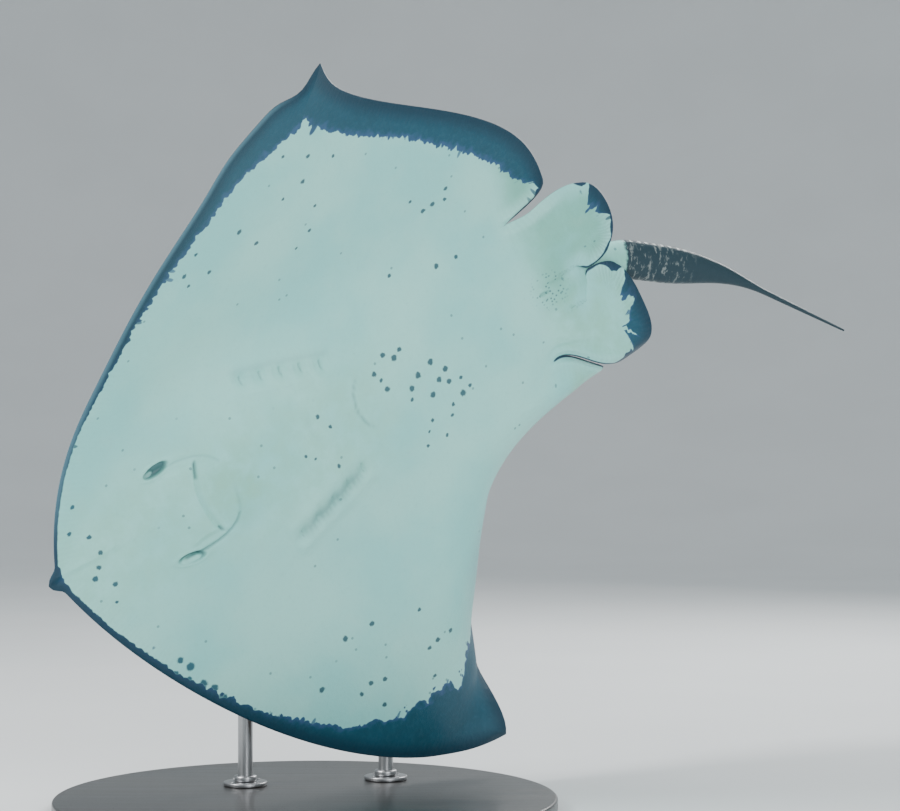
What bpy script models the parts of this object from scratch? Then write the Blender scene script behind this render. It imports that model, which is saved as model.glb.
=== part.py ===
"""Smalleye stingray, life size, as a still display model on a stand.

The animal is drawn flat first: a plan of x (to its right) and s (back from the
snout), with a height above and below that plan.  The plan is then posed: each
wing bends along its span, the right one also curls its rear part up, and the
tail swings to the right.  Every part is cut from that one posed shape.
"""
import math

import bmesh
import bpy
import numpy as np
from mathutils import Euler, Matrix, Vector

# ---------------------------------------------------------------- dimensions
# metres; right side of the plan, as (x, s); the left side mirrors it
HALF_SPAN = 0.945
WING_TIP = (HALF_SPAN, 0.840)
LEADING_BULGE = ((0.434, 0.120), (0.930, 0.542))
TRAILING_BULGE = ((0.700, 0.885), (0.548, 1.402))
REAR_TIP = (0.253, 1.400)
INNER_BULGE = ((0.222, 1.400), (0.214, 1.330))
AXIL = (0.200, 1.265)
PELVIC_OUTER_BULGE = ((0.196, 1.320), (0.246, 1.400))
PELVIC_CORNER = (0.212, 1.475)
PELVIC_REAR_BULGE = ((0.180, 1.550), (0.045, 1.550))
PELVIC_INNER = (0.030, 1.462)
PELVIC_INNER_BULGE = ((0.027, 1.440), (0.047, 1.410))
NOTCH = (0.040, 1.380)
TAIL_ROOT_HALF = 0.045
SNOUT_KNOB = (0.014, 0.024)          # how far it sticks out, half its width
HEAD_END = 0.470                     # s where the jaws end

EDGE_HALF = 0.00125                  # half the thickness of a fin's margin
GAP = 0.0006                         # between neighbouring parts

BACK_FIN, BACK_FIN_REACH = 0.027, 0.110
BELLY_FIN, BELLY_FIN_REACH = 0.015, 0.090
BACK_HUMP, BELLY_HUMP = 0.105, 0.045
HUMP_CENTRE, HUMP_FRONT, HUMP_REAR = 0.580, 0.340, 0.480
HUMP_SIDE = 0.235

EYE_PLACE = (0.148, 0.318)           # x, s
EYE_RADIUS = 0.0130
EYE_SINK = 0.0045                    # centre below the skin
EYE_BULGE = (0.017, 0.036)           # height, radius
SPIRACLE_PLACE = (0.160, 0.388)
SPIRACLE_HALF = (0.020, 0.036)
SPIRACLE_DEPTH = 0.024
MOUTH_PLACE, MOUTH_HALF, MOUTH_ARCH = 0.385, 0.090, 0.020
MOUTH_DEPTH, MOUTH_LIP = 0.012, 0.011
JAW_SWELL = (0.010, 0.085)           # height, radius of the lower jaw

TAIL_LENGTH = 0.780                  # from the notch to the tip
TAIL_FLAT_HALF, TAIL_FLAT_THICK = 0.033, 0.014
TAIL_FLAT_END, TAIL_FLAT_FADE = 0.257, 0.290
WHIP_HALF, WHIP_END = 0.0125, 0.0012
TAIL_CUTS = (0.300, 0.500)
TAIL_RISE = 0.012
STING = (0.300, 0.150, 0.0055, 0.0042)   # start, length, half width, thickness
STING_TEETH = 9

# ---------------------------------------------------------------------- pose
WING_BEND_START, WING_BEND_RAMP = 0.100, 0.300
WING_BEND = {1: (-0.05, 0.30), -1: (-0.58, -0.12)}    # root and tip, radians
WING_TWIST = {1: -0.03, -1: 0.50}
# the front margin droops: (how far out, half width, depth) and its reach back
FRONT_DROOP = {1: ((0.25, 0.18, -0.010),), -1: ((0.26, 0.17, 0.036), (0.90, 0.06, 0.034))}
FRONT_DROOP_REACH = 0.320
TIP_KEPT = (0.690, 0.120)            # s where the tip starts to keep its line, fade
CURL_ANGLE = {1: 0.936, -1: 0.0}
CURL_LINE, CURL_SWEEP, CURL_RAMP = 1.008, -0.450, 0.250
CURL_SPAN = (0.200, 0.400, 0.800, 0.930)
TAIL_SWING = (math.radians(33), 0.054, 0.14), (math.radians(16), 0.32, 0.21)
TAIL_DROOP = (math.radians(10), 0.02, 0.40)
PELVIC_DROP = 0.022

BODY_CENTRE_S = 0.700
BODY_HEIGHT = 0.860
BODY_PLACE = (0.060, -0.110)
HEADING = math.radians(115.6)
NOSE_DOWN = math.radians(28.0)
ROLL_RIGHT = math.radians(78.7)

# --------------------------------------------------------------------- stand
BASE_RADIUS, BASE_THICK, BASE_EDGE = 0.560, 0.030, 0.006
ROD_RADIUS, ROD_BEND = 0.017, 0.120
ROD_FEET_S = (0.640, 0.980)          # where the rods meet the back
ROD_GAP = 0.0012
ROD_REACH = 0.200
ROD_BEND_STEPS = 7

# ------------------------------------------------------------------ meshing
HEAD_GRID = (24, 21)
TRUNK_GRID = (16, 18)
WING_GRID = (17, 19)
INNER_COLUMNS = 4                    # of a wing's columns, those behind the axil
TIP_BLUNT = 0.996
PELVIC_GRID = (8, 9)
TAIL_COLUMNS = 8
TAIL_ROWS = (11, 7, 8)


def smooth(value):
    """0 below 0, 1 above 1, eased between."""
    t = np.clip(value, 0.0, 1.0)
    return t * t * (3.0 - 2.0 * t)


def bezier(start, bulge, end, count):
    t = np.linspace(0.0, 1.0, count)[:, None]
    a, b, c, d = (np.array(p, float) for p in (start, *bulge, end))
    return (1 - t) ** 3 * a + 3 * (1 - t) ** 2 * t * b + 3 * (1 - t) * t ** 2 * c + t ** 3 * d


def along(curve, fraction):
    """Points at fractions of a curve's length."""
    step = np.linalg.norm(np.diff(curve, axis=0), axis=1)
    length = np.concatenate([[0.0], np.cumsum(step)])
    want = np.asarray(fraction) * length[-1]
    return np.stack([np.interp(want, length, curve[:, k]) for k in (0, 1)], -1)


# ------------------------------------------------------------- plan outline
def leading_edge():
    curve = bezier((0.0, 0.0), LEADING_BULGE, WING_TIP, 400)
    out, half = SNOUT_KNOB
    curve[:, 1] -= out * np.exp(-(curve[:, 0] / half) ** 2)
    return curve


LEADING = leading_edge()
TRAILING = bezier(WING_TIP, TRAILING_BULGE, REAR_TIP, 200)
INNER = bezier(REAR_TIP, INNER_BULGE, AXIL, 60)
PELVIC_OUTER = bezier(AXIL, PELVIC_OUTER_BULGE, PELVIC_CORNER, 60)
PELVIC_REAR = np.concatenate([
    bezier(PELVIC_CORNER, PELVIC_REAR_BULGE, PELVIC_INNER, 80),
    bezier(PELVIC_INNER, PELVIC_INNER_BULGE, NOTCH, 30)[1:]])
DISC_MARGIN = np.concatenate([LEADING, TRAILING, INNER])
PELVIC_MARGIN = np.concatenate([PELVIC_OUTER, PELVIC_REAR])
WHOLE_MARGIN = np.concatenate([DISC_MARGIN, PELVIC_MARGIN])


def front_of(x):
    """s of the leading edge at a distance x from the midline."""
    return np.interp(np.abs(x), LEADING[:, 0], LEADING[:, 1])


def margin_distance(x, s, margin):
    """Shortest distance in the plan from each point to a margin."""
    flat = np.stack([np.abs(x).ravel(), s.ravel()], -1)
    gap = np.full(len(flat), 9.0)
    for start in range(0, len(margin), 40):
        part = margin[start:start + 40]
        reach = np.linalg.norm(flat[:, None, :] - part[None, :, :], axis=2).min(axis=1)
        gap = np.minimum(gap, reach)
    return gap.reshape(np.shape(x))


# ---------------------------------------------------------- height of a part
def hump(x, s, sharpness):
    reach = np.where(s < HUMP_CENTRE, HUMP_FRONT, HUMP_REAR)
    lengthwise = np.exp(-((s - HUMP_CENTRE) / reach) ** 2)
    return lengthwise * np.exp(-(np.abs(x) / HUMP_SIDE) ** sharpness)


def dome(x, s, place, half_x, half_s):
    return np.exp(-((np.abs(x) - place[0]) / half_x) ** 2 - ((s - place[1]) / half_s) ** 2)


def back_height(x, s, gap):
    fin = BACK_FIN * (1.0 - np.exp(-gap / BACK_FIN_REACH))
    body = BACK_HUMP * hump(x, s, 2.2) * (1.0 - np.exp(-gap / 0.10))
    eyes = EYE_BULGE[0] * dome(x, s, EYE_PLACE, EYE_BULGE[1], EYE_BULGE[1])
    holes = SPIRACLE_DEPTH * dome(x, s, SPIRACLE_PLACE, *SPIRACLE_HALF)
    return EDGE_HALF + fin + body + eyes - holes


def mouth_line(x):
    """s of the arched mouth at x."""
    return MOUTH_PLACE - MOUTH_ARCH * (1.0 - (x / MOUTH_HALF) ** 2)


def belly_height(x, s, gap):
    fin = BELLY_FIN * (1.0 - np.exp(-gap / BELLY_FIN_REACH))
    body = BELLY_HUMP * hump(x, s, 3.0) * (1.0 - np.exp(-gap / 0.12))
    jaw = JAW_SWELL[0] * dome(x, s, (0.0, MOUTH_PLACE + 0.045), JAW_SWELL[1], 0.05)
    across = smooth((MOUTH_HALF - np.abs(x)) / 0.03)
    mouth = MOUTH_DEPTH * across * np.exp(-((s - mouth_line(x)) / MOUTH_LIP) ** 2)
    return EDGE_HALF + fin + body + jaw - mouth


def tail_half_width(q):
    whip = WHIP_HALF * np.clip(1.0 - q / TAIL_LENGTH, 0.0, 1.0) ** 0.9 + WHIP_END
    return whip + TAIL_FLAT_HALF * (1.0 - smooth((q - TAIL_FLAT_END) / TAIL_FLAT_FADE))


def tail_half_height(q):
    whip = WHIP_HALF * np.clip(1.0 - q / TAIL_LENGTH, 0.0, 1.0) ** 0.9 + WHIP_END
    return whip + TAIL_FLAT_THICK * (1.0 - smooth((q - TAIL_FLAT_END) / TAIL_FLAT_FADE))


# ------------------------------------------------------------------- posing
def bend_along_span(side):
    """Distance out, height and slope along one wing, as tables."""
    out = np.linspace(0.0, HALF_SPAN * 1.01, 300)
    root, tip = WING_BEND[side]
    far = np.clip(out - WING_BEND_START, 0.0, None)
    slope = root * smooth(far / WING_BEND_RAMP)
    slope = slope + tip * (far / (HALF_SPAN - WING_BEND_START)) ** 1.5
    step = out[1] - out[0]
    middle = 0.5 * (slope[1:] + slope[:-1])
    sideways = np.concatenate([[0.0], np.cumsum(np.cos(middle) * step)])
    height = np.concatenate([[0.0], np.cumsum(np.sin(middle) * step)])
    return out, sideways, height, slope


def front_droop(side, a, s):
    depth = sum(low * np.exp(-((a - out) / half) ** 2) for out, half, low in FRONT_DROOP[side])
    start, fade = TIP_KEPT
    behind = 1.0 - smooth((s - front_of(a)) / FRONT_DROOP_REACH)
    return depth * behind * (1.0 - smooth((s - start) / fade))


def pose_disc(x, s, h):
    """Plan point and height to the posed body frame (right, forward, up)."""
    placed = np.zeros(np.shape(x) + (3,))
    for side in (1, -1):
        here = (x >= 0.0) if side > 0 else (x < 0.0)
        a, back, up = np.abs(x[here]), s[here], h[here]
        x0, x1, x2, x3 = CURL_SPAN
        share = smooth((a - x0) / (x1 - x0)) * smooth((x3 - a) / (x3 - x2))
        bend = np.maximum(CURL_ANGLE[side] * share / CURL_RAMP, 1e-6)
        past = np.clip(back - (CURL_LINE + CURL_SWEEP * a / HALF_SPAN), 0.0, None)
        turned = np.minimum(past, CURL_RAMP)
        angle = bend * turned
        beyond = past - turned
        run = np.sin(angle) / bend + beyond * np.cos(angle)
        rise = (1.0 - np.cos(angle)) / bend + beyond * np.sin(angle)
        back = back - past + run - up * np.sin(angle)
        up = rise + up * np.cos(angle)
        out, sideways, height, slope = bend_along_span(side)
        tilt = np.interp(a, out, slope)
        placed[here, 0] = side * (np.interp(a, out, sideways) - up * np.sin(tilt))
        twist = WING_TWIST[side] * (a / HALF_SPAN) ** 2 * (back - 0.6)
        placed[here, 2] = np.interp(a, out, height) + up * np.cos(tilt) + twist
        placed[here, 2] -= front_droop(side, a, s[here])
        placed[here, 1] = BODY_CENTRE_S - back
    return placed


def tail_line(q):
    """Centre, direction angles of the swung tail at distances q past the notch."""
    table = np.linspace(0.0, TAIL_LENGTH * 1.02, 300)
    swing = sum(turn * smooth((table - start) / span) for turn, start, span in TAIL_SWING)
    turn, start, span = TAIL_DROOP
    droop = turn * smooth((table - start) / span)
    step = table[1] - table[0]
    ways = (np.sin(swing) * np.cos(droop), np.cos(swing) * np.cos(droop), -np.sin(droop))
    places = [np.concatenate([[0.0], np.cumsum(0.5 * (w[1:] + w[:-1]) * step)]) for w in ways]
    centre = [np.interp(q, table, p) for p in places]
    return centre, np.interp(q, table, swing), np.interp(q, table, droop)


def pose_tail(across, q, h):
    """Tail point given across its width, along it and above its centre."""
    (x, s, z), swing, droop = tail_line(q)
    placed = np.zeros(np.shape(across) + (3,))
    placed[..., 0] = x + across * np.cos(swing) + h * np.sin(droop) * np.sin(swing)
    placed[..., 1] = BODY_CENTRE_S - (NOTCH[1] + s - across * np.sin(swing)
                                      + h * np.sin(droop) * np.cos(swing))
    placed[..., 2] = z + h * np.cos(droop) + TAIL_RISE * smooth(q / 0.06)
    return placed


def pelvic_drop(x, s):
    """How far the pelvic fins hang below the plan."""
    root = np.array([[TAIL_ROOT_HALF, AXIL[1]], NOTCH])
    gap = margin_distance(x, s, along(root, np.linspace(0.0, 1.0, 30)))
    return PELVIC_DROP * smooth((s - AXIL[1]) / 0.07) * smooth(gap / 0.025)


# -------------------------------------------------------------- two surfaces
def disc_surfaces(x, s):
    gap = margin_distance(x, s, WHOLE_MARGIN)
    return pose_disc(x, s, back_height(x, s, gap)), pose_disc(x, s, -belly_height(x, s, gap))


def wing_surfaces(x, s):
    gap = margin_distance(x, s, DISC_MARGIN)
    return pose_disc(x, s, back_height(x, s, gap)), pose_disc(x, s, -belly_height(x, s, gap))


def pelvic_surfaces(x, s):
    gap = margin_distance(x, s, PELVIC_MARGIN)
    drop = pelvic_drop(x, s)
    back = pose_disc(x, s, back_height(x, s, gap) - drop)
    return back, pose_disc(x, s, -belly_height(x, s, gap) - drop)


def tail_root_surfaces(eta, s):
    """Between the axils and the notches the body turns into the tail."""
    part = (s - AXIL[1]) / (NOTCH[1] - AXIL[1])
    half = TAIL_ROOT_HALF + (NOTCH[0] - TAIL_ROOT_HALF) * part - GAP / 2
    x = eta * half
    gap = margin_distance(x, s, WHOLE_MARGIN)
    share = smooth(part) * (1.0 - (1.0 - smooth((part - 0.65) / 0.35)) * eta ** 4)
    round_off = np.cos(0.5 * math.pi * eta)
    tall = EDGE_HALF + (tail_half_height(0.0) - EDGE_HALF) * round_off
    up = (1.0 - share) * back_height(x, s, gap) + share * tall
    down = (1.0 - share) * belly_height(x, s, gap) + share * tall
    return pose_disc(x, s, up), pose_disc(x, s, -down)


def tail_surfaces(eta, q):
    half, tall = tail_half_width(q), tail_half_height(q)
    start = smooth(q / 0.05)
    widen = smooth(q / 0.14)
    half = (1.0 - widen) * NOTCH[0] + widen * half
    across = half * np.sin(0.5 * math.pi * eta) * start + half * eta * (1.0 - start)
    edge = np.minimum(EDGE_HALF, 0.3 * tall)
    h = edge + (tall - edge) * np.cos(0.5 * math.pi * eta)
    return pose_tail(across, q, h), pose_tail(across, q, -h)


# ------------------------------------------------------------------- meshes
def slab(name, surfaces, material, parent):
    """One closed solid between an upper and a lower grid of points."""
    top, bottom = surfaces
    rows, columns = top.shape[:2]
    mesh = bpy.data.meshes.new(name)
    bm = bmesh.new()
    upper = [[bm.verts.new(top[i, j]) for j in range(columns)] for i in range(rows)]
    lower = [[bm.verts.new(bottom[i, j]) for j in range(columns)] for i in range(rows)]
    for i in range(rows - 1):
        for j in range(columns - 1):
            for grid in (upper, lower):
                bm.faces.new((grid[i][j], grid[i][j + 1], grid[i + 1][j + 1], grid[i + 1][j]))
    ring = [(0, j) for j in range(columns - 1)]
    ring += [(i, columns - 1) for i in range(rows - 1)]
    ring += [(rows - 1, j) for j in range(columns - 1, 0, -1)]
    ring += [(i, 0) for i in range(rows - 1, 0, -1)]
    for (i, j), (k, l) in zip(ring, ring[1:] + ring[:1]):
        bm.faces.new((upper[i][j], upper[k][l], lower[k][l], lower[i][j]))
    bmesh.ops.triangulate(bm, faces=bm.faces)
    bmesh.ops.recalc_face_normals(bm, faces=bm.faces)
    bm.to_mesh(mesh)
    bm.free()
    mesh.shade_smooth()
    mesh.set_sharp_from_angle(angle=math.radians(50))
    return add(name, mesh, material, parent)


def add(name, mesh, material, parent=None):
    mesh.materials.append(material)
    thing = bpy.data.objects.new(name, mesh)
    bpy.context.collection.objects.link(thing)
    thing.parent = parent
    return thing


def finish(name, colour, roughness, metallic=0.0):
    material = bpy.data.materials.new(name)
    material.use_nodes = True
    shader = material.node_tree.nodes["Principled BSDF"]
    shader.inputs["Base Color"].default_value = (*colour, 1.0)
    shader.inputs["Roughness"].default_value = roughness
    shader.inputs["Metallic"].default_value = metallic
    return material


def spread(count):
    """Fractions from 0 to 1, closer together at both ends."""
    return 0.5 - 0.5 * np.cos(np.linspace(0.0, math.pi, count + 1))


# -------------------------------------------------------------------- parts
def make_head(skin, parent):
    columns, rows = HEAD_GRID
    x = np.linspace(-1.0, 1.0, columns + 1) * (AXIL[0] - GAP / 2)
    x = np.broadcast_to(x, (rows + 1, columns + 1))
    v = (np.linspace(0.0, 1.0, rows + 1) ** 1.25)[:, None]
    s = front_of(x) + v * (HEAD_END - front_of(x))
    head = slab("head", disc_surfaces(x, s), skin, parent)
    for side in (-1, 1):
        socket = eye_ball("socket_cutter", side, EYE_RADIUS + GAP, skin, parent)
        socket.hide_render = True
        socket.display_type = "WIRE"
        cut = head.modifiers.new("socket", "BOOLEAN")
        cut.operation = "DIFFERENCE"
        cut.solver = "EXACT"
        cut.object = socket
    return head


def eye_centre(side):
    x = np.array([side * EYE_PLACE[0]])
    s = np.array([EYE_PLACE[1]])
    gap = margin_distance(x, s, DISC_MARGIN)
    return Vector(pose_disc(x, s, back_height(x, s, gap) - EYE_SINK)[0])


def eye_ball(name, side, radius, material, parent):
    mesh = bpy.data.meshes.new(name)
    bm = bmesh.new()
    bmesh.ops.create_uvsphere(bm, u_segments=14, v_segments=7, radius=radius)
    bm.to_mesh(mesh)
    bm.free()
    mesh.shade_smooth()
    ball = add(name, mesh, material, parent)
    ball.location = eye_centre(side)
    ball.rotation_euler = (0.0, math.radians(40) * side, 0.0)
    return ball


def make_trunk(skin, parent):
    columns, rows = TRUNK_GRID
    x = np.linspace(-1.0, 1.0, columns + 1) * (AXIL[0] - GAP / 2)
    s = np.linspace(HEAD_END + GAP, AXIL[1] - GAP / 2, rows + 1)
    x, s = np.meshgrid(x, s)
    return slab("trunk", disc_surfaces(x, s), skin, parent)


def wing_plan(columns, rows):
    """Plan of the right wing, from its root line to its tip."""
    root = AXIL[0] + GAP / 2
    front = LEADING[LEADING[:, 0] > root]
    front = np.concatenate([[[root, front_of(root)]], front])
    rear = np.concatenate([TRAILING, INNER[1:]])[::-1].copy()
    rear[0, 0] = root
    ahead = along(front, TIP_BLUNT * np.linspace(0.0, 1.0, columns + 1))
    inner = along(rear[:len(INNER)], np.linspace(0.0, 1.0, INNER_COLUMNS + 1))
    outer = along(rear[len(INNER) - 1:],
                  TIP_BLUNT * np.linspace(0.0, 1.0, columns - INNER_COLUMNS + 1))
    behind = np.concatenate([inner, outer[1:]])
    v = spread(rows)[:, None, None]
    plan = ahead[None] + v * (behind - ahead)[None]
    return plan[..., 0], plan[..., 1]


def make_wing(name, side, skin, parent):
    x, s = wing_plan(*WING_GRID)
    return slab(name, wing_surfaces(side * x, s), skin, parent)


def pelvic_plan(columns, rows):
    """Plan of the right pelvic fin, stretched between its four sides."""
    u = np.linspace(0.0, 1.0, columns + 1)
    v = np.linspace(0.0, 1.0, rows + 1)
    start = np.array([TAIL_ROOT_HALF + GAP, AXIL[1] + GAP / 2])
    outer = PELVIC_OUTER.copy()
    outer[0] = (AXIL[0] - GAP, AXIL[1] + GAP / 2)
    rear = PELVIC_REAR[::-1].copy()
    rear[0] = (NOTCH[0] + GAP, NOTCH[1])
    front_side = along(np.array([start, outer[0]]), u)
    rear_side = along(rear, u)
    inner_side = along(np.array([start, rear[0]]), v)
    outer_side = along(outer, v)
    uu, vv = u[None, :, None], v[:, None, None]
    plan = (1 - vv) * front_side[None] + vv * rear_side[None]
    plan = plan + (1 - uu) * inner_side[:, None] + uu * outer_side[:, None]
    plan = plan - (1 - uu) * (1 - vv) * front_side[0] - uu * (1 - vv) * front_side[-1]
    plan = plan - (1 - uu) * vv * rear_side[0] - uu * vv * rear_side[-1]
    return plan[..., 0], plan[..., 1]


def make_pelvic_fin(name, side, skin, parent):
    x, s = pelvic_plan(*PELVIC_GRID)
    return slab(name, pelvic_surfaces(side * x, s), skin, parent)


def make_tail(skin, parent):
    eta = np.linspace(-1.0, 1.0, TAIL_COLUMNS + 1)[None, :]
    s = np.linspace(AXIL[1] + GAP / 2, NOTCH[1], 7)[:-1, None]
    root = tail_root_surfaces(eta + 0 * s, s + 0 * eta)
    starts = (0.0,) + tuple(cut + GAP for cut in TAIL_CUTS)
    ends = TAIL_CUTS + (TAIL_LENGTH,)
    names = ("tail_base", "tail_middle", "tail_tip")
    for name, start, end, rows in zip(names, starts, ends, TAIL_ROWS):
        q = np.linspace(start, end, rows + 1)[:, None]
        surfaces = tail_surfaces(eta + 0 * q, q + 0 * eta)
        if name == "tail_base":
            surfaces = [np.concatenate(pair) for pair in zip(root, surfaces)]
        slab(name, surfaces, skin, parent)


def make_sting(horn, parent):
    """The serrated spine that lies on top of the tail."""
    start, length, half, thick = STING
    steps = 2 * STING_TEETH
    part = np.linspace(0.0, 1.0, steps + 1)
    width = half * np.sqrt(np.clip(1.0 - part, 0.004, 1.0))
    width = width * np.where(np.arange(steps + 1) % 2 == 1, 0.78, 1.0)
    deep = thick * (1.0 - 0.8 * part)
    q = (start + part * length)[:, None] + np.zeros((1, 3))
    across = width[:, None] * np.array([[-1.0, 0.0, 1.0]])
    lift = tail_half_height(start) + 0.0008 + 0 * q
    middle = np.array([[0.35, 1.0, 0.35]])
    upper = pose_tail(across, q, lift + deep[:, None] * (0.25 + 0.75 * middle))
    lower = pose_tail(across, q, lift + 0 * across)
    return slab("sting", (upper, lower), horn, parent)


def pose_empty():
    empty = bpy.data.objects.new("ray_pose", None)
    bpy.context.collection.objects.link(empty)
    turn = (Matrix.Rotation(HEADING, 3, "Z") @ Matrix.Rotation(-NOSE_DOWN, 3, "X")
            @ Matrix.Rotation(ROLL_RIGHT, 3, "Y"))
    empty.location = (*BODY_PLACE, BODY_HEIGHT)
    empty.rotation_euler = turn.to_euler()
    return empty


def make_stand_base(wood):
    mesh = bpy.data.meshes.new("stand_base")
    bm = bmesh.new()
    bmesh.ops.create_cone(bm, cap_ends=True, segments=56, radius1=BASE_RADIUS,
                          radius2=BASE_RADIUS, depth=BASE_THICK)
    bmesh.ops.translate(bm, verts=bm.verts, vec=(0.0, 0.0, BASE_THICK / 2))
    bm.to_mesh(mesh)
    bm.free()
    base = add("stand_base", mesh, wood)
    bevel = base.modifiers.new("eased edge", "BEVEL")
    bevel.width = BASE_EDGE
    bevel.segments = 1
    bevel.limit_method = "ANGLE"
    return base


def rod_path(foot, normal):
    """From the base straight up, round one bend and along to the back."""
    flat = Vector((normal.x, normal.y, 0.0)).normalized()
    corner = foot + normal * ROD_REACH
    turn = math.acos(-normal.z)
    rise = corner - Vector((0.0, 0.0, ROD_BEND * math.tan(0.5 * turn)))
    centre = rise - flat * ROD_BEND
    path = [Vector((corner.x, corner.y, BASE_THICK + GAP)), rise]
    for k in range(1, ROD_BEND_STEPS + 1):
        angle = turn * k / ROD_BEND_STEPS
        offset = flat * math.cos(angle) + Vector((0.0, 0.0, math.sin(angle)))
        path.append(centre + offset * ROD_BEND)
    path.append(foot)
    return path


def make_rod(name, s_foot, pose, steel):
    x = np.array([0.0])
    s = np.array([s_foot])
    gap = margin_distance(x, s, DISC_MARGIN)
    on_back = Vector(pose_disc(x, s, back_height(x, s, gap) + ROD_GAP)[0])
    step = 0.02
    slope = (back_height(x, s + step, gap) - back_height(x, s - step, gap))[0] / (2 * step)
    turn = pose.rotation_euler.to_matrix()
    foot = pose.location + turn @ on_back
    normal = (turn @ Vector((0.0, slope, 1.0))).normalized()
    curve = bpy.data.curves.new(name, "CURVE")
    curve.dimensions = "3D"
    curve.bevel_depth = ROD_RADIUS
    curve.bevel_resolution = 3
    curve.use_fill_caps = True
    path = rod_path(foot, normal)
    line = curve.splines.new("POLY")
    line.points.add(len(path) - 1)
    for point, place in zip(line.points, path):
        point.co = (*place, 1.0)
    curve.materials.append(steel)
    rod = bpy.data.objects.new(name, curve)
    bpy.context.collection.objects.link(rod)
    return rod


def build():
    for thing in list(bpy.data.objects):
        bpy.data.objects.remove(thing, do_unlink=True)
    skin = finish("ray skin", (0.62, 0.66, 0.62), 0.45)
    eye = finish("eye", (0.02, 0.02, 0.02), 0.1)
    horn = finish("sting", (0.75, 0.68, 0.52), 0.4)
    wood = finish("stand base", (0.05, 0.05, 0.055), 0.4)
    steel = finish("stand rod", (0.35, 0.35, 0.36), 0.3, 1.0)
    pose = pose_empty()
    make_head(skin, pose)
    make_trunk(skin, pose)
    for name, side in (("left", -1), ("right", 1)):
        make_wing("wing_" + name, side, skin, pose)
        make_pelvic_fin("pelvic_fin_" + name, side, skin, pose)
        eye_ball("eye_" + name, side, EYE_RADIUS, eye, pose)
    make_tail(skin, pose)
    make_sting(horn, pose)
    make_stand_base(wood)
    for name, s_foot in zip(("front", "rear"), ROD_FEET_S):
        make_rod("stand_rod_" + name, s_foot, pose, steel)


build()
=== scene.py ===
# %% [markdown]
# # A life-size stingray for a museum stand
# The model is a grown stingray, seen from below as it turns in the water: a broad pale
# belly with dark margins, a small snout knob, round pelvic fins and a whip of a tail. A
# stand of two bent rods on a round base carries it. The solids that fix its size and
# weight are loaded first, and every new piece is laid on them.
# %% Load the frame
import math

import bpy
import numpy as np
from mathutils import Matrix, Vector


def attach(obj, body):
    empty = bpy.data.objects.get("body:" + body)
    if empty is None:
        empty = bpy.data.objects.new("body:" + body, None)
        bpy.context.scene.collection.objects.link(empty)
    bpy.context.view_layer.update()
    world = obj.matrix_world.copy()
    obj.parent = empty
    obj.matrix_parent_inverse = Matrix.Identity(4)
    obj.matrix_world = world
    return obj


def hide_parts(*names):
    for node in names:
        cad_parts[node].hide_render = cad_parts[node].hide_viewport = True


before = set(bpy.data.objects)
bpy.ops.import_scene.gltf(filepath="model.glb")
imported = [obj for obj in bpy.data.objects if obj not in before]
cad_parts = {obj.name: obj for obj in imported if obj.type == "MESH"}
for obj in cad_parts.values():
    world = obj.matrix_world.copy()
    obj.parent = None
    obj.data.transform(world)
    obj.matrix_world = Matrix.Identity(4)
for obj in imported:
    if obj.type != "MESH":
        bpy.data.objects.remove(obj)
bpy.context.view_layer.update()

print("solids:", ", ".join(sorted(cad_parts)))


# %% [markdown]
# ## Choosing what the tools act on
# An operator works on everything that is selected, and the solids come in selected. So
# each step first picks exactly what it means.
# %% Picking
def pick(*things):
    """Selects only these objects, and makes the last one active."""
    bpy.ops.object.select_all(action="DESELECT")
    for thing in things:
        thing.select_set(True)
        bpy.context.view_layer.objects.active = thing


def pick_faces(thing, chosen):
    """Selects faces of one object by a list of truth values."""
    pick(thing)
    bpy.ops.object.mode_set(mode="EDIT")
    bpy.ops.mesh.select_mode(type="FACE")
    bpy.ops.mesh.select_all(action="DESELECT")
    bpy.ops.object.mode_set(mode="OBJECT")
    thing.data.polygons.foreach_set("select", np.asarray(chosen, bool))


def edit(thing, operator, **settings):
    """One edit-mode operator on what is selected in an object."""
    pick(thing)
    bpy.ops.object.mode_set(mode="EDIT")
    operator(**settings)
    bpy.ops.object.mode_set(mode="OBJECT")


def merge_points(thing, threshold):
    edit(thing, bpy.ops.mesh.select_all, action="SELECT")
    edit(thing, bpy.ops.mesh.remove_doubles, threshold=threshold)


def add(name, operator, **settings):
    """Runs an operator that adds an object, and names what it added."""
    bpy.ops.object.select_all(action="DESELECT")
    operator(**settings)
    made = bpy.context.object
    made.name = name
    return made


def round_edges(width, segments):
    """Bevels the sharp edges of the active object."""
    bevel = bpy.context.object.modifiers.new("round edges", "BEVEL")
    bevel.width, bevel.segments, bevel.limit_method = width, segments, "ANGLE"
    bpy.ops.object.modifier_apply(modifier="round edges")


def enter_on_open_border(thing):
    """Goes into edit mode with the open border of an object selected."""
    pick(thing)
    bpy.ops.object.mode_set(mode="EDIT")
    bpy.ops.mesh.select_mode(type="EDGE")
    bpy.ops.mesh.select_all(action="DESELECT")
    bpy.ops.mesh.select_non_manifold(extend=False, use_wire=False, use_boundary=True,
                                     use_multi_face=False, use_non_contiguous=False,
                                     use_verts=False)


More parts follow.
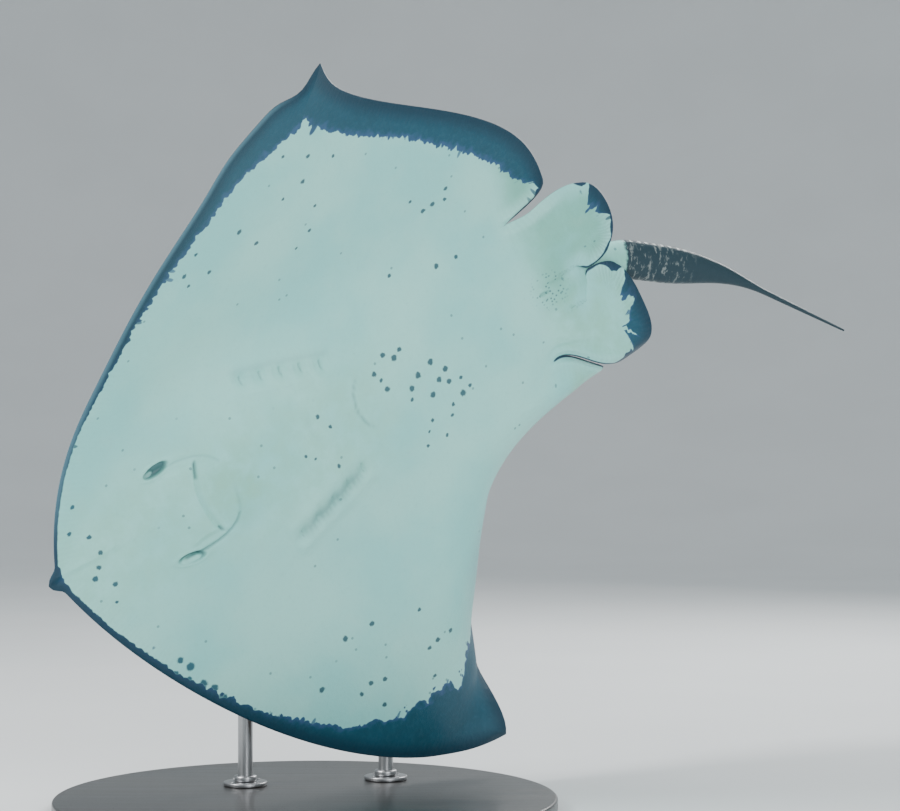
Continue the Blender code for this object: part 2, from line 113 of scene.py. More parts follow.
# %% [markdown]
# ## The animal drawn flat
# A ray is easiest to understand from above, as a plan: x to its right and s back from
# the snout, in metres. Three curves draw the disc and four the pelvic fins. The left side
# mirrors the right. The solids follow nearly the same curves.
# %% Curves of the plan
HALF_SPAN = 0.945
WING_TIP = (HALF_SPAN, 0.840)
LEADING_BULGE = ((0.434, 0.120), (0.930, 0.542))
TRAILING_BULGE = ((0.700, 0.885), (0.548, 1.402))
REAR_TIP = (0.253, 1.400)
INNER_BULGE = ((0.222, 1.400), (0.214, 1.330))
AXIL = (0.200, 1.265)
PELVIC_OUTER_BULGE = ((0.196, 1.320), (0.246, 1.400))
PELVIC_CORNER = (0.212, 1.475)
PELVIC_REAR_BULGE = ((0.190, 1.545), (0.060, 1.530))
PELVIC_INNER = (0.026, 1.490)
PELVIC_INNER_BULGE = ((0.004, 1.475), (0.001, 1.440))
PELVIC_MEET = (0.002, 1.418)
PELVIC_MEET_BULGE = ((0.004, 1.398), (0.040, 1.400))
NOTCH = (0.040, 1.380)
TAIL_ROOT_HALF = 0.045
SNOUT_KNOB = (0.017, 0.022)          # how far it sticks out, half its width


def smooth(value):
    """0 below 0, 1 above 1, eased between."""
    t = np.clip(value, 0.0, 1.0)
    return t * t * (3.0 - 2.0 * t)


def tapered(part, first, last):
    """0 at both ends of a line, 1 between them."""
    return smooth(part / first) * smooth((1.0 - part) / last)


def trench(gap, half):
    """1 on a line and fading beside it, for a rounded groove or ridge."""
    return np.exp(-(gap / half) ** 2)


def on_side(x, side):
    """Which points are on the right (1) or on the left (-1)."""
    return x >= 0.0 if side > 0 else x < 0.0


def bezier(start, bulge, end, count):
    """Points of a curve from start to end, drawn towards the two places of its bulge."""
    t = np.linspace(0.0, 1.0, count)[:, None]
    a, b, c, d = (np.array(p, float) for p in (start, *bulge, end))
    return (1 - t) ** 3 * a + 3 * (1 - t) ** 2 * t * b + 3 * (1 - t) * t ** 2 * c + t ** 3 * d


def running_sum(steps):
    return np.concatenate([[0.0], np.cumsum(steps)])


def stations(curve):
    """Distance along a curve at each of its points."""
    return running_sum(np.linalg.norm(np.diff(curve, axis=0), axis=1))


def along(curve, fraction):
    """Points at fractions of a curve's length."""
    length = stations(curve)
    want = np.asarray(fraction) * length[-1]
    return np.stack([np.interp(want, length, curve[:, k]) for k in (0, 1)], -1)


def leading_edge():
    curve = bezier((0.0, 0.0), LEADING_BULGE, WING_TIP, 400)
    out, half = SNOUT_KNOB
    curve[:, 1] -= out * np.exp(-(curve[:, 0] / half) ** 4)
    return curve


LEADING = leading_edge()
TRAILING = bezier(WING_TIP, TRAILING_BULGE, REAR_TIP, 200)
INNER = bezier(REAR_TIP, INNER_BULGE, AXIL, 60)
PELVIC_OUTER = bezier(AXIL, PELVIC_OUTER_BULGE, PELVIC_CORNER, 60)
PELVIC_REAR = bezier(PELVIC_CORNER, PELVIC_REAR_BULGE, PELVIC_INNER, 80)
PELVIC_FREE = np.concatenate([
    bezier(PELVIC_INNER, PELVIC_INNER_BULGE, PELVIC_MEET, 40),
    bezier(PELVIC_MEET, PELVIC_MEET_BULGE, NOTCH, 40)[1:]])
DISC_MARGIN = np.concatenate([LEADING, TRAILING, INNER])
PELVIC_MARGIN = np.concatenate([PELVIC_OUTER, PELVIC_REAR, PELVIC_FREE])
WHOLE_MARGIN = np.concatenate([DISC_MARGIN, PELVIC_MARGIN])
print("margin on one side, metres:", round(float(stations(WHOLE_MARGIN)[-1]), 3))


# %% [markdown]
# ## Where a point lies on the plan
# Two measures steer both the shape and the markings: how far a point is from the edge,
# and how far along the edge its nearest place is.
# %% Measures on the plan
def front_of(x):
    """s of the leading edge at a distance x from the midline."""
    return np.interp(np.abs(x), LEADING[:, 0], LEADING[:, 1])


def nearest(x, s, margin):
    """Distance to a margin, and how far along the margin its nearest place is."""
    flat = np.stack([np.abs(x).ravel(), s.ravel()], -1)
    gap = np.full(len(flat), 9.0)
    spot = np.zeros(len(flat), int)
    for start in range(0, len(margin), 40):
        part = margin[start:start + 40]
        reach = np.linalg.norm(flat[:, None, :] - part[None, :, :], axis=2)
        closest = reach.argmin(axis=1)
        reach = reach[np.arange(len(flat)), closest]
        spot = np.where(reach < gap, start + closest, spot)
        gap = np.minimum(gap, reach)
    length = stations(margin)
    place = length[spot]
    for step in (-1, 0):
        first = np.clip(spot + step, 0, len(margin) - 2)
        start, way = margin[first], margin[first + 1] - margin[first]
        share = ((flat - start) * way).sum(1) / np.maximum((way * way).sum(1), 1e-12)
        share = np.clip(share, 0.0, 1.0)
        reach = np.linalg.norm(flat - start - share[:, None] * way, axis=1)
        place = np.where(reach < gap, length[first] + share * np.linalg.norm(way, axis=1), place)
        gap = np.minimum(gap, reach)
    return gap.reshape(np.shape(x)), place.reshape(np.shape(x))


def margin_distance(x, s, margin):
    return nearest(x, s, margin)[0]


def from_line(x, s, line):
    """Distance to a line of a few points, and how far along it, from 0 to 1."""
    best, where = np.full(np.shape(x), 9.0), np.zeros(np.shape(x))
    line = np.array(line, float)
    length = stations(line)
    for k, ((x0, s0), (x1, s1)) in enumerate(zip(line, line[1:])):
        part = ((x - x0) * (x1 - x0) + (s - s0) * (s1 - s0)) / (length[k + 1] - length[k]) ** 2
        part = np.clip(part, 0.0, 1.0)
        gap = np.hypot(x - x0 - part * (x1 - x0), s - s0 - part * (s1 - s0))
        here = (length[k] + part * (length[k + 1] - length[k])) / length[-1]
        where = np.where(gap < best, here, where)
        best = np.minimum(best, gap)
    return best, where


def dome(x, s, place, half_x, half_s):
    """A round swelling, the same on both sides of the midline."""
    return np.exp(-((np.abs(x) - place[0]) / half_x) ** 2 - ((s - place[1]) / half_s) ** 2)


def along_and_across(out, behind, turn):
    """Distances along and across an axis that is turned outward from straight back."""
    cos, sin = math.cos(turn), math.sin(turn)
    return behind * cos + out * sin, out * cos - behind * sin


# %% [markdown]
# ## The body's thickness
# Above and below the plan the body swells: a thin fin near the edge, a hump over the
# gut and gills, and a bulge under each eye. Apart from the mouth and jaw, the solids have
# the same main heights, so the skin comes to lie on them.
# %% Heights of the body
EDGE_HALF = 0.00125
#   height and reach of the fin; height, steepness and reach of the hump
BACK_FORM = (0.027, 0.110, 0.105, 2.2, 0.10)
BELLY_FORM = (0.015, 0.090, 0.045, 3.0, 0.12)
HUMP_CENTRE, HUMP_FRONT, HUMP_REAR, HUMP_SIDE = 0.580, 0.340, 0.480, 0.235
EYE_PLACE, EYE_RADIUS, EYE_SINK = (0.148, 0.318), 0.0130, 0.0045
EYE_BULGE = (0.017, 0.036)           # height, radius
SPIRACLE_PLACE, SPIRACLE_HALF, SPIRACLE_DEPTH = (0.160, 0.388), (0.020, 0.036), 0.024
SNOUT_SOFT_END, SNOUT_SOFT_FADE = 0.42, 0.20


def hump(x, s, sharpness):
    reach = np.where(s < HUMP_CENTRE, HUMP_FRONT, HUMP_REAR)
    lengthwise = np.exp(-((s - HUMP_CENTRE) / reach) ** 2)
    return lengthwise * np.exp(-(np.abs(x) / HUMP_SIDE) ** sharpness)


def soft_gap(x, s, gap):
    """The gap without the sharp crease that it has along the midline at the snout."""
    rounded = np.hypot(x, 0.5 * gap)
    near_snout = smooth((SNOUT_SOFT_END - s) / SNOUT_SOFT_FADE)
    return gap + (margin_distance(rounded, s, LEADING) - gap) * near_snout


def flesh(x, s, gap, fin, fin_reach, high, steepness, reach):
    """Edge, fin and hump of one side."""
    thin = fin * (1.0 - np.exp(-gap / fin_reach))
    return EDGE_HALF + thin + high * hump(x, s, steepness) * (1.0 - np.exp(-gap / reach))


def back_height(x, s, gap):
    eyes = EYE_BULGE[0] * dome(x, s, EYE_PLACE, EYE_BULGE[1], EYE_BULGE[1])
    holes = SPIRACLE_DEPTH * dome(x, s, SPIRACLE_PLACE, *SPIRACLE_HALF)
    return flesh(x, s, gap, *BACK_FORM) + eyes - holes


def belly_height(x, s, gap):
    return flesh(x, s, gap, *BELLY_FORM)


# %% [markdown]
# ## The face under the snout
# A ray's mouth is on its belly. In front of it hangs the nasal curtain, a flap with a
# free hind edge that runs from nostril to nostril, with a groove down each side to the
# corner of the mouth. Behind the mouth the lower jaw swells. The turned body carries
# all this a little to the left of the midline, which `lean` follows.
#
# Every feature is a pair: how far it raises the skin, and how much painted shade darkens its hollow.
# %% Mouth, curtain and nostrils
FACE_LEAN = (0.013, 0.009)           # at the mouth, and further at the gills
CURTAIN_FRONT, CURTAIN_EDGE, CURTAIN_SAG = 0.258, 0.3405, 0.017
CURTAIN_HALF, CURTAIN_LIFT = 0.086, 0.0046
FRINGE_PITCH, FRINGE_DEEP = 0.0075, 0.0014
MOUTH_BACK, MOUTH_DEPTH, MOUTH_HALF_OPEN = 0.0068, 0.0048, 0.0030
MOUTH_SHALLOW = 0.30                 # of its depth, away from its corners
LIP_BACK, LIP_HALF, LIP_HIGH = 0.0105, 0.0055, 0.0016
JAW_S, JAW_HALF, JAW_HIGH = 0.420, (0.080, 0.036), 0.0090
FOLD_S, FOLD_BOW, FOLD_WIDE, FOLD_HALF, FOLD_DEEP = 0.421, 0.010, 0.067, 0.0050, 0.0018
NOSTRIL_PLACE, NOSTRIL_HALF = (0.109, 0.281), (0.032, 0.0125)
NOSTRIL_TURN, NOSTRIL_DEEP, BRIM_HIGH = math.radians(7), 0.0100, 0.0014
FLAP_LENGTH, FLAP_WIDTH = (0.84, 0.50), (0.72, 0.22)       # of the pit, and less on the left
FLAP_FORWARD, FLAP_ASIDE = (0.003, 0.014), 0.0030          # and more on the left
GROOVE_LINE = bezier((0.105, 0.26), ((0.105, 0.32), (0.108, 0.385)), (0.065, 0.41), 9)
GROOVE_HALF, GROOVE_DEEP = 0.0030, 0.0040
SWELL_BESIDE, SWELL_HALF, SWELL_HIGH = 0.0105, 0.0060, 0.0014
SNOUT_RIDGE_HALF, SNOUT_RIDGE_HIGH, SNOUT_RIDGE_ENDS = 0.0050, 0.0014, (0.010, 0.175)


def lean(x, s):
    """Distance from the belly's own midline."""
    return x + FACE_LEAN[0] + FACE_LEAN[1] * smooth((s - 0.40) / 0.20)


def nostril_relief(own, s):
    """An oval pit under a flap, darkened with painted shade. The right flap lies over most of it
    and leaves a crescent of painted shade, the left one is drawn back to the front end."""
    left = smooth(-own / 0.020)
    long, wide = along_and_across(np.abs(own) - NOSTRIL_PLACE[0], s - NOSTRIL_PLACE[1], NOSTRIL_TURN)
    oval = np.hypot(long / NOSTRIL_HALF[0], wide / NOSTRIL_HALF[1])
    pit = smooth((1.06 - oval) / 0.30)
    flap_long = (FLAP_LENGTH[0] - FLAP_LENGTH[1] * left) * NOSTRIL_HALF[0]
    flap_wide = (FLAP_WIDTH[0] - FLAP_WIDTH[1] * left) * NOSTRIL_HALF[1]
    flap = np.hypot((long + FLAP_FORWARD[0] + FLAP_FORWARD[1] * left) / flap_long,
                    (wide - FLAP_ASIDE * (1.0 - left)) / flap_wide)
    cover = smooth((1.14 - flap) / 0.40)
    brim = trench(oval - 1.22, 0.20)
    height = BRIM_HIGH * brim - NOSTRIL_DEEP * pit * (1.0 - 0.86 * cover)
    return height, pit * (1.0 - cover * (1.0 - 0.50 * left))


def curtain_and_mouth(own, u, s):
    """The nasal curtain with its fringe, the mouth line behind it and the lip, and the painted shade in
    the mouth, darkest at its corners.
    """
    edge = CURTAIN_EDGE + CURTAIN_SAG * (u / CURTAIN_HALF) ** 2
    fringe = FRINGE_DEEP * np.abs(np.sin(math.pi * u / FRINGE_PITCH))
    side = CURTAIN_HALF + 0.012 * smooth((0.330 - s) / 0.05)
    flap = smooth((s - CURTAIN_FRONT) / 0.060) * smooth((side - u) / 0.014)
    flap = flap * (1.0 - smooth((s - edge + fringe) / 0.0036))
    across = smooth((CURTAIN_HALF + 0.004 - u) / 0.010)
    mouth = across * trench(s - edge - MOUTH_BACK, MOUTH_HALF_OPEN)
    lip = across * trench(s - edge - MOUTH_BACK - LIP_BACK, LIP_HALF)
    corner = np.where(own < 0.0, smooth((u - 0.044) / 0.008), smooth((u - 0.068) / 0.006))
    deep = MOUTH_SHALLOW + (1.0 - MOUTH_SHALLOW) * corner
    height = CURTAIN_LIFT * flap - MOUTH_DEPTH * mouth * deep + LIP_HIGH * lip
    return height, (0.10 + 0.72 * corner) * mouth


def face_relief(x, s):
    own = lean(x, s)
    u = np.abs(own)
    height, mouth_shade = curtain_and_mouth(own, u, s)
    fold = trench(s - FOLD_S + FOLD_BOW * (u / FOLD_WIDE) ** 2, FOLD_HALF)
    fold = fold * smooth((FOLD_WIDE + 0.005 - u) / 0.012) * smooth((own + 0.020) / 0.050)
    jaw = np.exp(-(u / JAW_HALF[0]) ** 4 - ((s - JAW_S) / JAW_HALF[1]) ** 2)
    nostril, nostril_shade = nostril_relief(own, s)
    gap, part = from_line(u, s, GROOVE_LINE)
    faint = np.where(own < 0.0, 0.30, 1.0) * (1.0 - 0.35 * part) * smooth(part / 0.08)
    groove = trench(gap, GROOVE_HALF) * faint
    swell = trench(gap - SWELL_BESIDE, SWELL_HALF) * (1.0 - part)
    start, end = SNOUT_RIDGE_ENDS
    ridge = trench(own, SNOUT_RIDGE_HALF) * smooth((s - start) / 0.03) * smooth((end - s) / 0.05)
    height = (height - FOLD_DEEP * fold + JAW_HIGH * jaw + nostril - GROOVE_DEEP * groove
              + SWELL_HIGH * swell + SNOUT_RIDGE_HIGH * ridge)
    # the second value is painted shade in the mouth, the nostrils, the grooves and the chin fold
    return height, np.maximum.reduce([mouth_shade, 0.92 * nostril_shade, 0.72 * groove, 0.16 * fold])


# %% [markdown]
# ## Gill slits and creases
# Five gill slits on each side breathe the water out. They are short cuts across two
# long rows that draw together towards the tail. Outside each row the skin stands up in a
# soft ridge over the gill bars. Behind the gills a faint arched crease marks the
# shoulder girdle.
# %% Gills and creases
# The slits, the furrows and the creases are darkened with painted shade, the right furrow most, as it
# faces away from the light.
GILL_ROW = bezier((0.205, 0.49), ((0.185, 0.56), (0.15, 0.66)), (0.12, 0.735), 8)
GILL_SLITS, GILL_START, GILL_PITCH = 5, 0.040, 0.0480      # along the row, metres
GILL_HALF, GILL_SLOPE, GILL_BOW = 0.0110, 0.30, 6.0
SLIT_HALF, SLIT_DEEP = 0.0022, 0.0028
BAR_PITCH, BAR_HIGH = 0.0125, 0.0013                       # small ridges over the gill bars
VALLEY_HALF, VALLEY_DEEP = 0.0150, 0.0074                  # the row itself lies in a furrow
ROW_RIDGES = ((0.030, 0.0046), (-0.032, 0.0030))           # beside the row: how far, how high
POUCH_WIDE, POUCH_LONG, POUCH_HIGH = 0.0170, 0.015, 0.0075
GILL_SHADE = (0.05, 0.46)                                  # painted shade of the furrow: left, right
CREASE_LINE = bezier((-0.07, 0.78), ((-0.03, 0.735), (0.03, 0.735)), (0.07, 0.78), 9)
HEART_LINE = ((-0.070, 0.640), (-0.020, 0.628), (0.040, 0.640))
#     half width, depth, painted shade, share of its length that fades
CREASE, HEART_FOLD = (0.0030, 0.0020, 0.34, 0.20), (0.0060, 0.0012, 0.06, 0.3)


def line_fold(own, s, line, half, depth, darkness, fading):
    """Depth and painted shade of a soft fold along a line."""
    gap, part = from_line(own, s, line)
    fold = trench(gap, half) * tapered(part, fading, fading)
    return depth * fold, darkness * fold


def gill_relief(x, s):
    own = lean(x, s)
    gap, part = from_line(np.abs(own), s, GILL_ROW)
    outward = gap * np.sign(np.abs(own) - np.interp(s, GILL_ROW[:, 1], GILL_ROW[:, 0]))
    ends = tapered(part, 0.10, 0.10)
    valley = trench(outward - 0.001, VALLEY_HALF) * ends
    ridges = [high * (trench(outward - away, VALLEY_HALF) * ends) for away, high in ROW_RIDGES]
    bow = part * stations(GILL_ROW)[-1] - GILL_START + GILL_SLOPE * outward - GILL_BOW * outward ** 2
    number = np.clip(np.round(bow / GILL_PITCH), 0, GILL_SLITS - 1)
    past = bow - number * GILL_PITCH
    slits = smooth((GILL_HALF + 0.004 - gap) / 0.008) * trench(past, SLIT_HALF)
    pouches = trench(outward - 0.002, POUCH_WIDE) * ends
    pouches = pouches * trench(np.abs(past) - 0.5 * GILL_PITCH, POUCH_LONG)
    fringe = 0.5 + 0.5 * np.cos(2 * math.pi * bow / BAR_PITCH)
    bars = BAR_HIGH * trench(outward - 0.004, VALLEY_HALF) * ends * fringe
    crease, crease_shade = line_fold(own, s, CREASE_LINE, *CREASE)
    fold, fold_shade = line_fold(own, s, HEART_LINE, *HEART_FOLD)
    # a thin line of painted shade beside the left row, with no relief under it
    brow_shade = trench(outward - 0.026, 0.0085) * ends * (own < 0.0)
    # painted shade in the furrow, stronger on the right, which faces away from the light
    shade = np.where(own < 0.0, *GILL_SHADE) * tapered(part, 0.34, 0.26)
    shade = shade * (1.0 - 0.45 * fringe * smooth(outward / 0.006))
    height = (sum(ridges) - VALLEY_DEEP * valley + POUCH_HIGH * pouches - SLIT_DEEP * slits
              + bars - crease - fold)
    return height, np.maximum.reduce([0.42 * slits, shade * valley, 0.12 * brow_shade, crease_shade,
                                      fold_shade])


# %% [markdown]
# ## Vent, pelvic ridges and the back's own forms
# Between the pelvic fins is the vent, a short slit with soft lips. The front of each
# pelvic fin is a thick rounded ridge, since its first ray is a stout rod. On the back
# there are the lids round the small eyes, the spiracles behind them, which draw water
# in, and a low ridge along the spine.
# %% Vent, pelvic ridges and back
VENT_PLACE, VENT_HALF = (-0.018, 1.293), 0.017
VENT_SLIT, VENT_LIP = (0.0030, 0.0055), (0.0055, 0.0026)   # half width; depth or height
VENT_LIP_ASIDE = 0.0100
RIDGE_IN, RIDGE_HALF, RIDGE_LIFT = 0.017, 0.013, 0.0080
DIP_BEHIND, DIP_HALF, DIP_DEEP = 0.030, 0.016, 0.0022
RIDGE_ENDS = ((1.235, 0.06), (1.455, 0.08))                # s, and how fast it fades there
LID = (0.0145, 0.0034, 0.0032)       # radius, half width, height
LID_SINK = (0.0100, 0.0040)          # half width, depth
LID_FOLD = (0.0235, 0.0028, 0.0011)  # radius, half width, depth
HOOD_IN, HOOD_HALF, HOOD_HIGH = 0.0105, (0.0125, 0.0190), 0.0082
SPIRACLE_TURN, SPIRACLE_SHIFT = math.radians(24), 0.002
SPIRACLE_PIT, SPIRACLE_PIT_DEEP, SPIRACLE_RIM = (0.0215, 0.0125), 0.0170, 0.0032
SPINE_RIDGE = (0.0045, 0.014)        # height, half width


def hind_relief(x, s):
    across = np.abs(x - VENT_PLACE[0])
    inside = smooth((VENT_HALF - np.abs(s - VENT_PLACE[1])) / 0.010)
    vent = inside * trench(across, VENT_SLIT[0])
    lips = inside * trench(across - VENT_LIP_ASIDE, VENT_LIP[0])
    rim = margin_distance(x, s, PELVIC_OUTER)
    (start, rise), (end, fall) = RIDGE_ENDS
    reach = smooth((s - start) / rise) * smooth((end - s) / fall)
    ridge = trench(rim - RIDGE_IN, RIDGE_HALF) * reach
    dip = trench(rim - RIDGE_IN - DIP_BEHIND, DIP_HALF) * reach
    height = VENT_LIP[1] * lips - VENT_SLIT[1] * vent + RIDGE_LIFT * ridge - DIP_DEEP * dip
    # the second value is painted shade in the vent slit
    return height, 0.7 * vent


def belly_relief(x, s):
    parts = [face_relief(x, s), gill_relief(x, s), hind_relief(x, s)]
    return sum(p[0] for p in parts), np.maximum.reduce([p[1] for p in parts])


def back_relief(x, s):
    out, behind = np.abs(x) - EYE_PLACE[0], s - EYE_PLACE[1]
    eye = np.hypot(out, behind)
    radius, half, high = LID
    lid = high * trench(eye - radius, half) - LID_SINK[1] * trench(eye, LID_SINK[0])
    hood = HOOD_HIGH * trench(out + HOOD_IN, HOOD_HALF[0]) * trench(behind, HOOD_HALF[1])
    radius, half, deep = LID_FOLD
    fold = trench(eye - radius, half) * smooth((0.004 - out) / 0.012)
    out, behind = np.abs(x) - SPIRACLE_PLACE[0], s - SPIRACLE_PLACE[1]
    long, wide = along_and_across(out - SPIRACLE_SHIFT, behind + SPIRACLE_SHIFT, SPIRACLE_TURN)
    oval = np.hypot(long / SPIRACLE_PIT[0], wide / SPIRACLE_PIT[1])
    pit = smooth((1.05 - oval) / 0.50)
    rim = trench(oval - 1.30, 0.24)
    spine = SPINE_RIDGE[0] * trench(x, SPINE_RIDGE[1]) * smooth((s - 0.42) / 0.12)
    height = lid + hood - deep * fold - SPIRACLE_PIT_DEEP * pit + SPIRACLE_RIM * rim + spine
    # the second value is painted shade in the spiracles and in the fold round each eye
    return height, np.maximum(0.96 * pit, 0.30 * fold)


# %% [markdown]
# ## Giving the flat animal its pose
# The flat body is then bent like the living one. Each wing bends along its span, the
# right one also curls its hind part up in mid stroke, and the tail swings to the right.
# Last, the whole body is rolled onto its side, nose down, and lifted to its place.
# %% Bending the disc
WING_BEND_START, WING_BEND_RAMP = 0.100, 0.300
WING_BEND = {1: (-0.05, 0.30), -1: (-0.58, -0.12)}    # root and tip, radians
WING_TWIST = {1: -0.03, -1: 0.50}
FRONT_DROOP = {1: ((0.25, 0.18, -0.010),), -1: ((0.26, 0.17, 0.036),)}
FRONT_DROOP_REACH, TIP_KEPT = 0.320, (0.690, 0.120)
CURL_ANGLE = {1: 0.936, -1: 0.0}
CURL_LINE, CURL_SWEEP, CURL_RAMP = 1.008, -0.450, 0.250
CURL_SPAN = (0.200, 0.400, 0.800, 0.930)
#   how far out, half width, how far back: they round the curl's line
CURL_BOW = ((0.505, 0.130, -0.023), (0.675, 0.105, -0.020), (0.820, 0.080, 0.029))
HIND_LEAN, AXIL_PULL, RIGHT_FIN_SPREAD = 0.022, 0.060, (0.014, 0.008)
#   where on the plan, how wide, how far: three draw the tip to a horn, the last fills
#   the leading edge
LEFT_NUDGES = (
    ((-0.825, 0.580), 0.085, (-0.013, -0.011)),
    ((-0.945, 0.770), 0.058, (0.043, 0.014)),
    ((-0.940, 0.885), 0.062, (0.010, 0.020)),
    ((-0.450, 0.210), 0.190, (0.0095, 0.0150)),
)
BODY_CENTRE_S, BODY_HEIGHT, BODY_PLACE = 0.700, 0.860, (0.060, -0.110)
HEADING, NOSE_DOWN, ROLL_RIGHT = math.radians(115.6), math.radians(28.0), math.radians(78.7)
BODY_TURN = (Matrix.Rotation(HEADING, 3, "Z") @ Matrix.Rotation(-NOSE_DOWN, 3, "X")
             @ Matrix.Rotation(ROLL_RIGHT, 3, "Y"))


def bend_along_span(side):
    """Distance out, height and slope along one wing, as tables."""
    out = np.linspace(0.0, HALF_SPAN * 1.01, 300)
    root, tip = WING_BEND[side]
    far = np.clip(out - WING_BEND_START, 0.0, None)
    slope = root * smooth(far / WING_BEND_RAMP)
    slope = slope + tip * (far / (HALF_SPAN - WING_BEND_START)) ** 1.5
    step = out[1] - out[0]
    middle = 0.5 * (slope[1:] + slope[:-1])
    return out, running_sum(np.cos(middle) * step), running_sum(np.sin(middle) * step), slope


def front_droop(side, a, s):
    depth = sum(low * np.exp(-((a - out) / half) ** 2) for out, half, low in FRONT_DROOP[side])
    start, fade = TIP_KEPT
    behind = 1.0 - smooth((s - front_of(a)) / FRONT_DROOP_REACH)
    return depth * behind * (1.0 - smooth((s - start) / fade))


def settle(x, s):
    """Small shifts on the plan: the pelvic fins meet left of the middle, the right one
    spreads and covers the root of the wing's rear tip, and the left wing is nudged."""
    behind = smooth((s - NOTCH[1]) / 0.030)
    hind = HIND_LEAN * behind * (1.0 - smooth((np.abs(x) - 0.010) / 0.120))
    axil = AXIL_PULL * np.exp(-((x - 0.205) / 0.075) ** 2 - ((s - 1.285) / 0.075) ** 2)
    spread = smooth((x - 0.100) / 0.080) * smooth((s - NOTCH[1]) / 0.060)
    spread = spread * (s > NOTCH[1])
    right, back = x - hind - axil * smooth((x - 0.050) / 0.060), s
    for (at_x, at_s), half, (far_x, far_s) in LEFT_NUDGES:
        share = np.exp(-((x - at_x) ** 2 + (s - at_s) ** 2) / half ** 2)
        right, back = right + far_x * share, back + far_s * share
    return right + RIGHT_FIN_SPREAD[0] * spread, back + RIGHT_FIN_SPREAD[1] * spread


def pose_disc(x, s, h):
    """Plan point and height to the posed body: right, forward, up."""
    placed = np.zeros(np.shape(x) + (3,))
    for side in (1, -1):
        here = on_side(x, side)
        a, back, up = np.abs(x[here]), s[here], h[here]
        x0, x1, x2, x3 = CURL_SPAN
        share = smooth((a - x0) / (x1 - x0)) * smooth((x3 - a) / (x3 - x2))
        bend = np.maximum(CURL_ANGLE[side] * share / CURL_RAMP, 1e-6)
        line = CURL_LINE + CURL_SWEEP * a / HALF_SPAN
        line = line + sum(far * np.exp(-((a - out) / half) ** 2) for out, half, far in CURL_BOW)
        past = np.clip(back - line, 0.0, None)
        turned = np.minimum(past, CURL_RAMP)
        angle = bend * turned
        beyond = past - turned
        run = np.sin(angle) / bend + beyond * np.cos(angle)
        rise = (1.0 - np.cos(angle)) / bend + beyond * np.sin(angle)
        back = back - past + run - up * np.sin(angle)
        up = rise + up * np.cos(angle)
        out, sideways, height, slope = bend_along_span(side)
        tilt = np.interp(a, out, slope)
        placed[here, 0] = side * (np.interp(a, out, sideways) - up * np.sin(tilt))
        twist = WING_TWIST[side] * (a / HALF_SPAN) ** 2 * (back - 0.6)
        placed[here, 2] = np.interp(a, out, height) + up * np.cos(tilt) + twist
        placed[here, 2] -= front_droop(side, a, s[here])
        placed[here, 1] = BODY_CENTRE_S - back
    return placed


def in_the_room(body_points):
    """Posed body points to the model's own frame, in metres above the floor."""
    turn = np.array(BODY_TURN)
    return body_points @ turn.T + np.array([*BODY_PLACE, BODY_HEIGHT])


# %% [markdown]
# ## The tail
# The tail begins as wide as the body is between the pelvic fins, flattens, and past the
# sting thins quickly to a whip. It is built across its width, `eta` from -1 to 1, and
# along it, `q` from the notch between the fins.
# %% Tail shapes
TAIL_LENGTH = 0.780
TAIL_FLAT_HALF, TAIL_FLAT_THICK = 0.033, 0.014
TAIL_FLAT_END, TAIL_FLAT_FADE = 0.257, 0.290
WHIP_HALF, WHIP_END = 0.0125, 0.0012
TAIL_RISE = 0.012
TAIL_SWING = (math.radians(33), 0.054, 0.14), (math.radians(16), 0.32, 0.21)
TAIL_DROOP = (math.radians(10), 0.02, 0.40)
PELVIC_DROP = 0.022


def tail_half(q, flat):
    whip = WHIP_HALF * np.clip(1.0 - q / TAIL_LENGTH, 0.0, 1.0) ** 0.9 + WHIP_END
    return whip + flat * (1.0 - smooth((q - TAIL_FLAT_END) / TAIL_FLAT_FADE))


def tail_line(q):
    """Centre and direction angles of the swung tail."""
    table = np.linspace(0.0, TAIL_LENGTH * 1.02, 300)
    swing = sum(turn * smooth((table - start) / span) for turn, start, span in TAIL_SWING)
    turn, start, span = TAIL_DROOP
    droop = turn * smooth((table - start) / span)
    step = table[1] - table[0]
    ways = (np.sin(swing) * np.cos(droop), np.cos(swing) * np.cos(droop), -np.sin(droop))
    places = [running_sum(0.5 * (way[1:] + way[:-1]) * step) for way in ways]
    centre = [np.interp(q, table, p) for p in places]
    return centre, np.interp(q, table, swing), np.interp(q, table, droop)


def pose_tail(across, q, h):
    (x, s, z), swing, droop = tail_line(q)
    placed = np.zeros(np.shape(across) + (3,))
    placed[..., 0] = x + across * np.cos(swing) + h * np.sin(droop) * np.sin(swing)
    placed[..., 1] = BODY_CENTRE_S - (NOTCH[1] + s - across * np.sin(swing)
                                      + h * np.sin(droop) * np.cos(swing))
    placed[..., 2] = z + h * np.cos(droop) + TAIL_RISE * smooth(q / 0.06)
    return placed


def pelvic_drop(s):
    """How far the pelvic fins hang below the plan."""
    return PELVIC_DROP * smooth((s - AXIL[1]) / 0.07)


def tail_keel(eta, q, power):
    """The sides of the tail's root start as low as the fins, and rise behind them."""
    return PELVIC_DROP * np.abs(eta) ** power * (1.0 - smooth(q / 0.060))


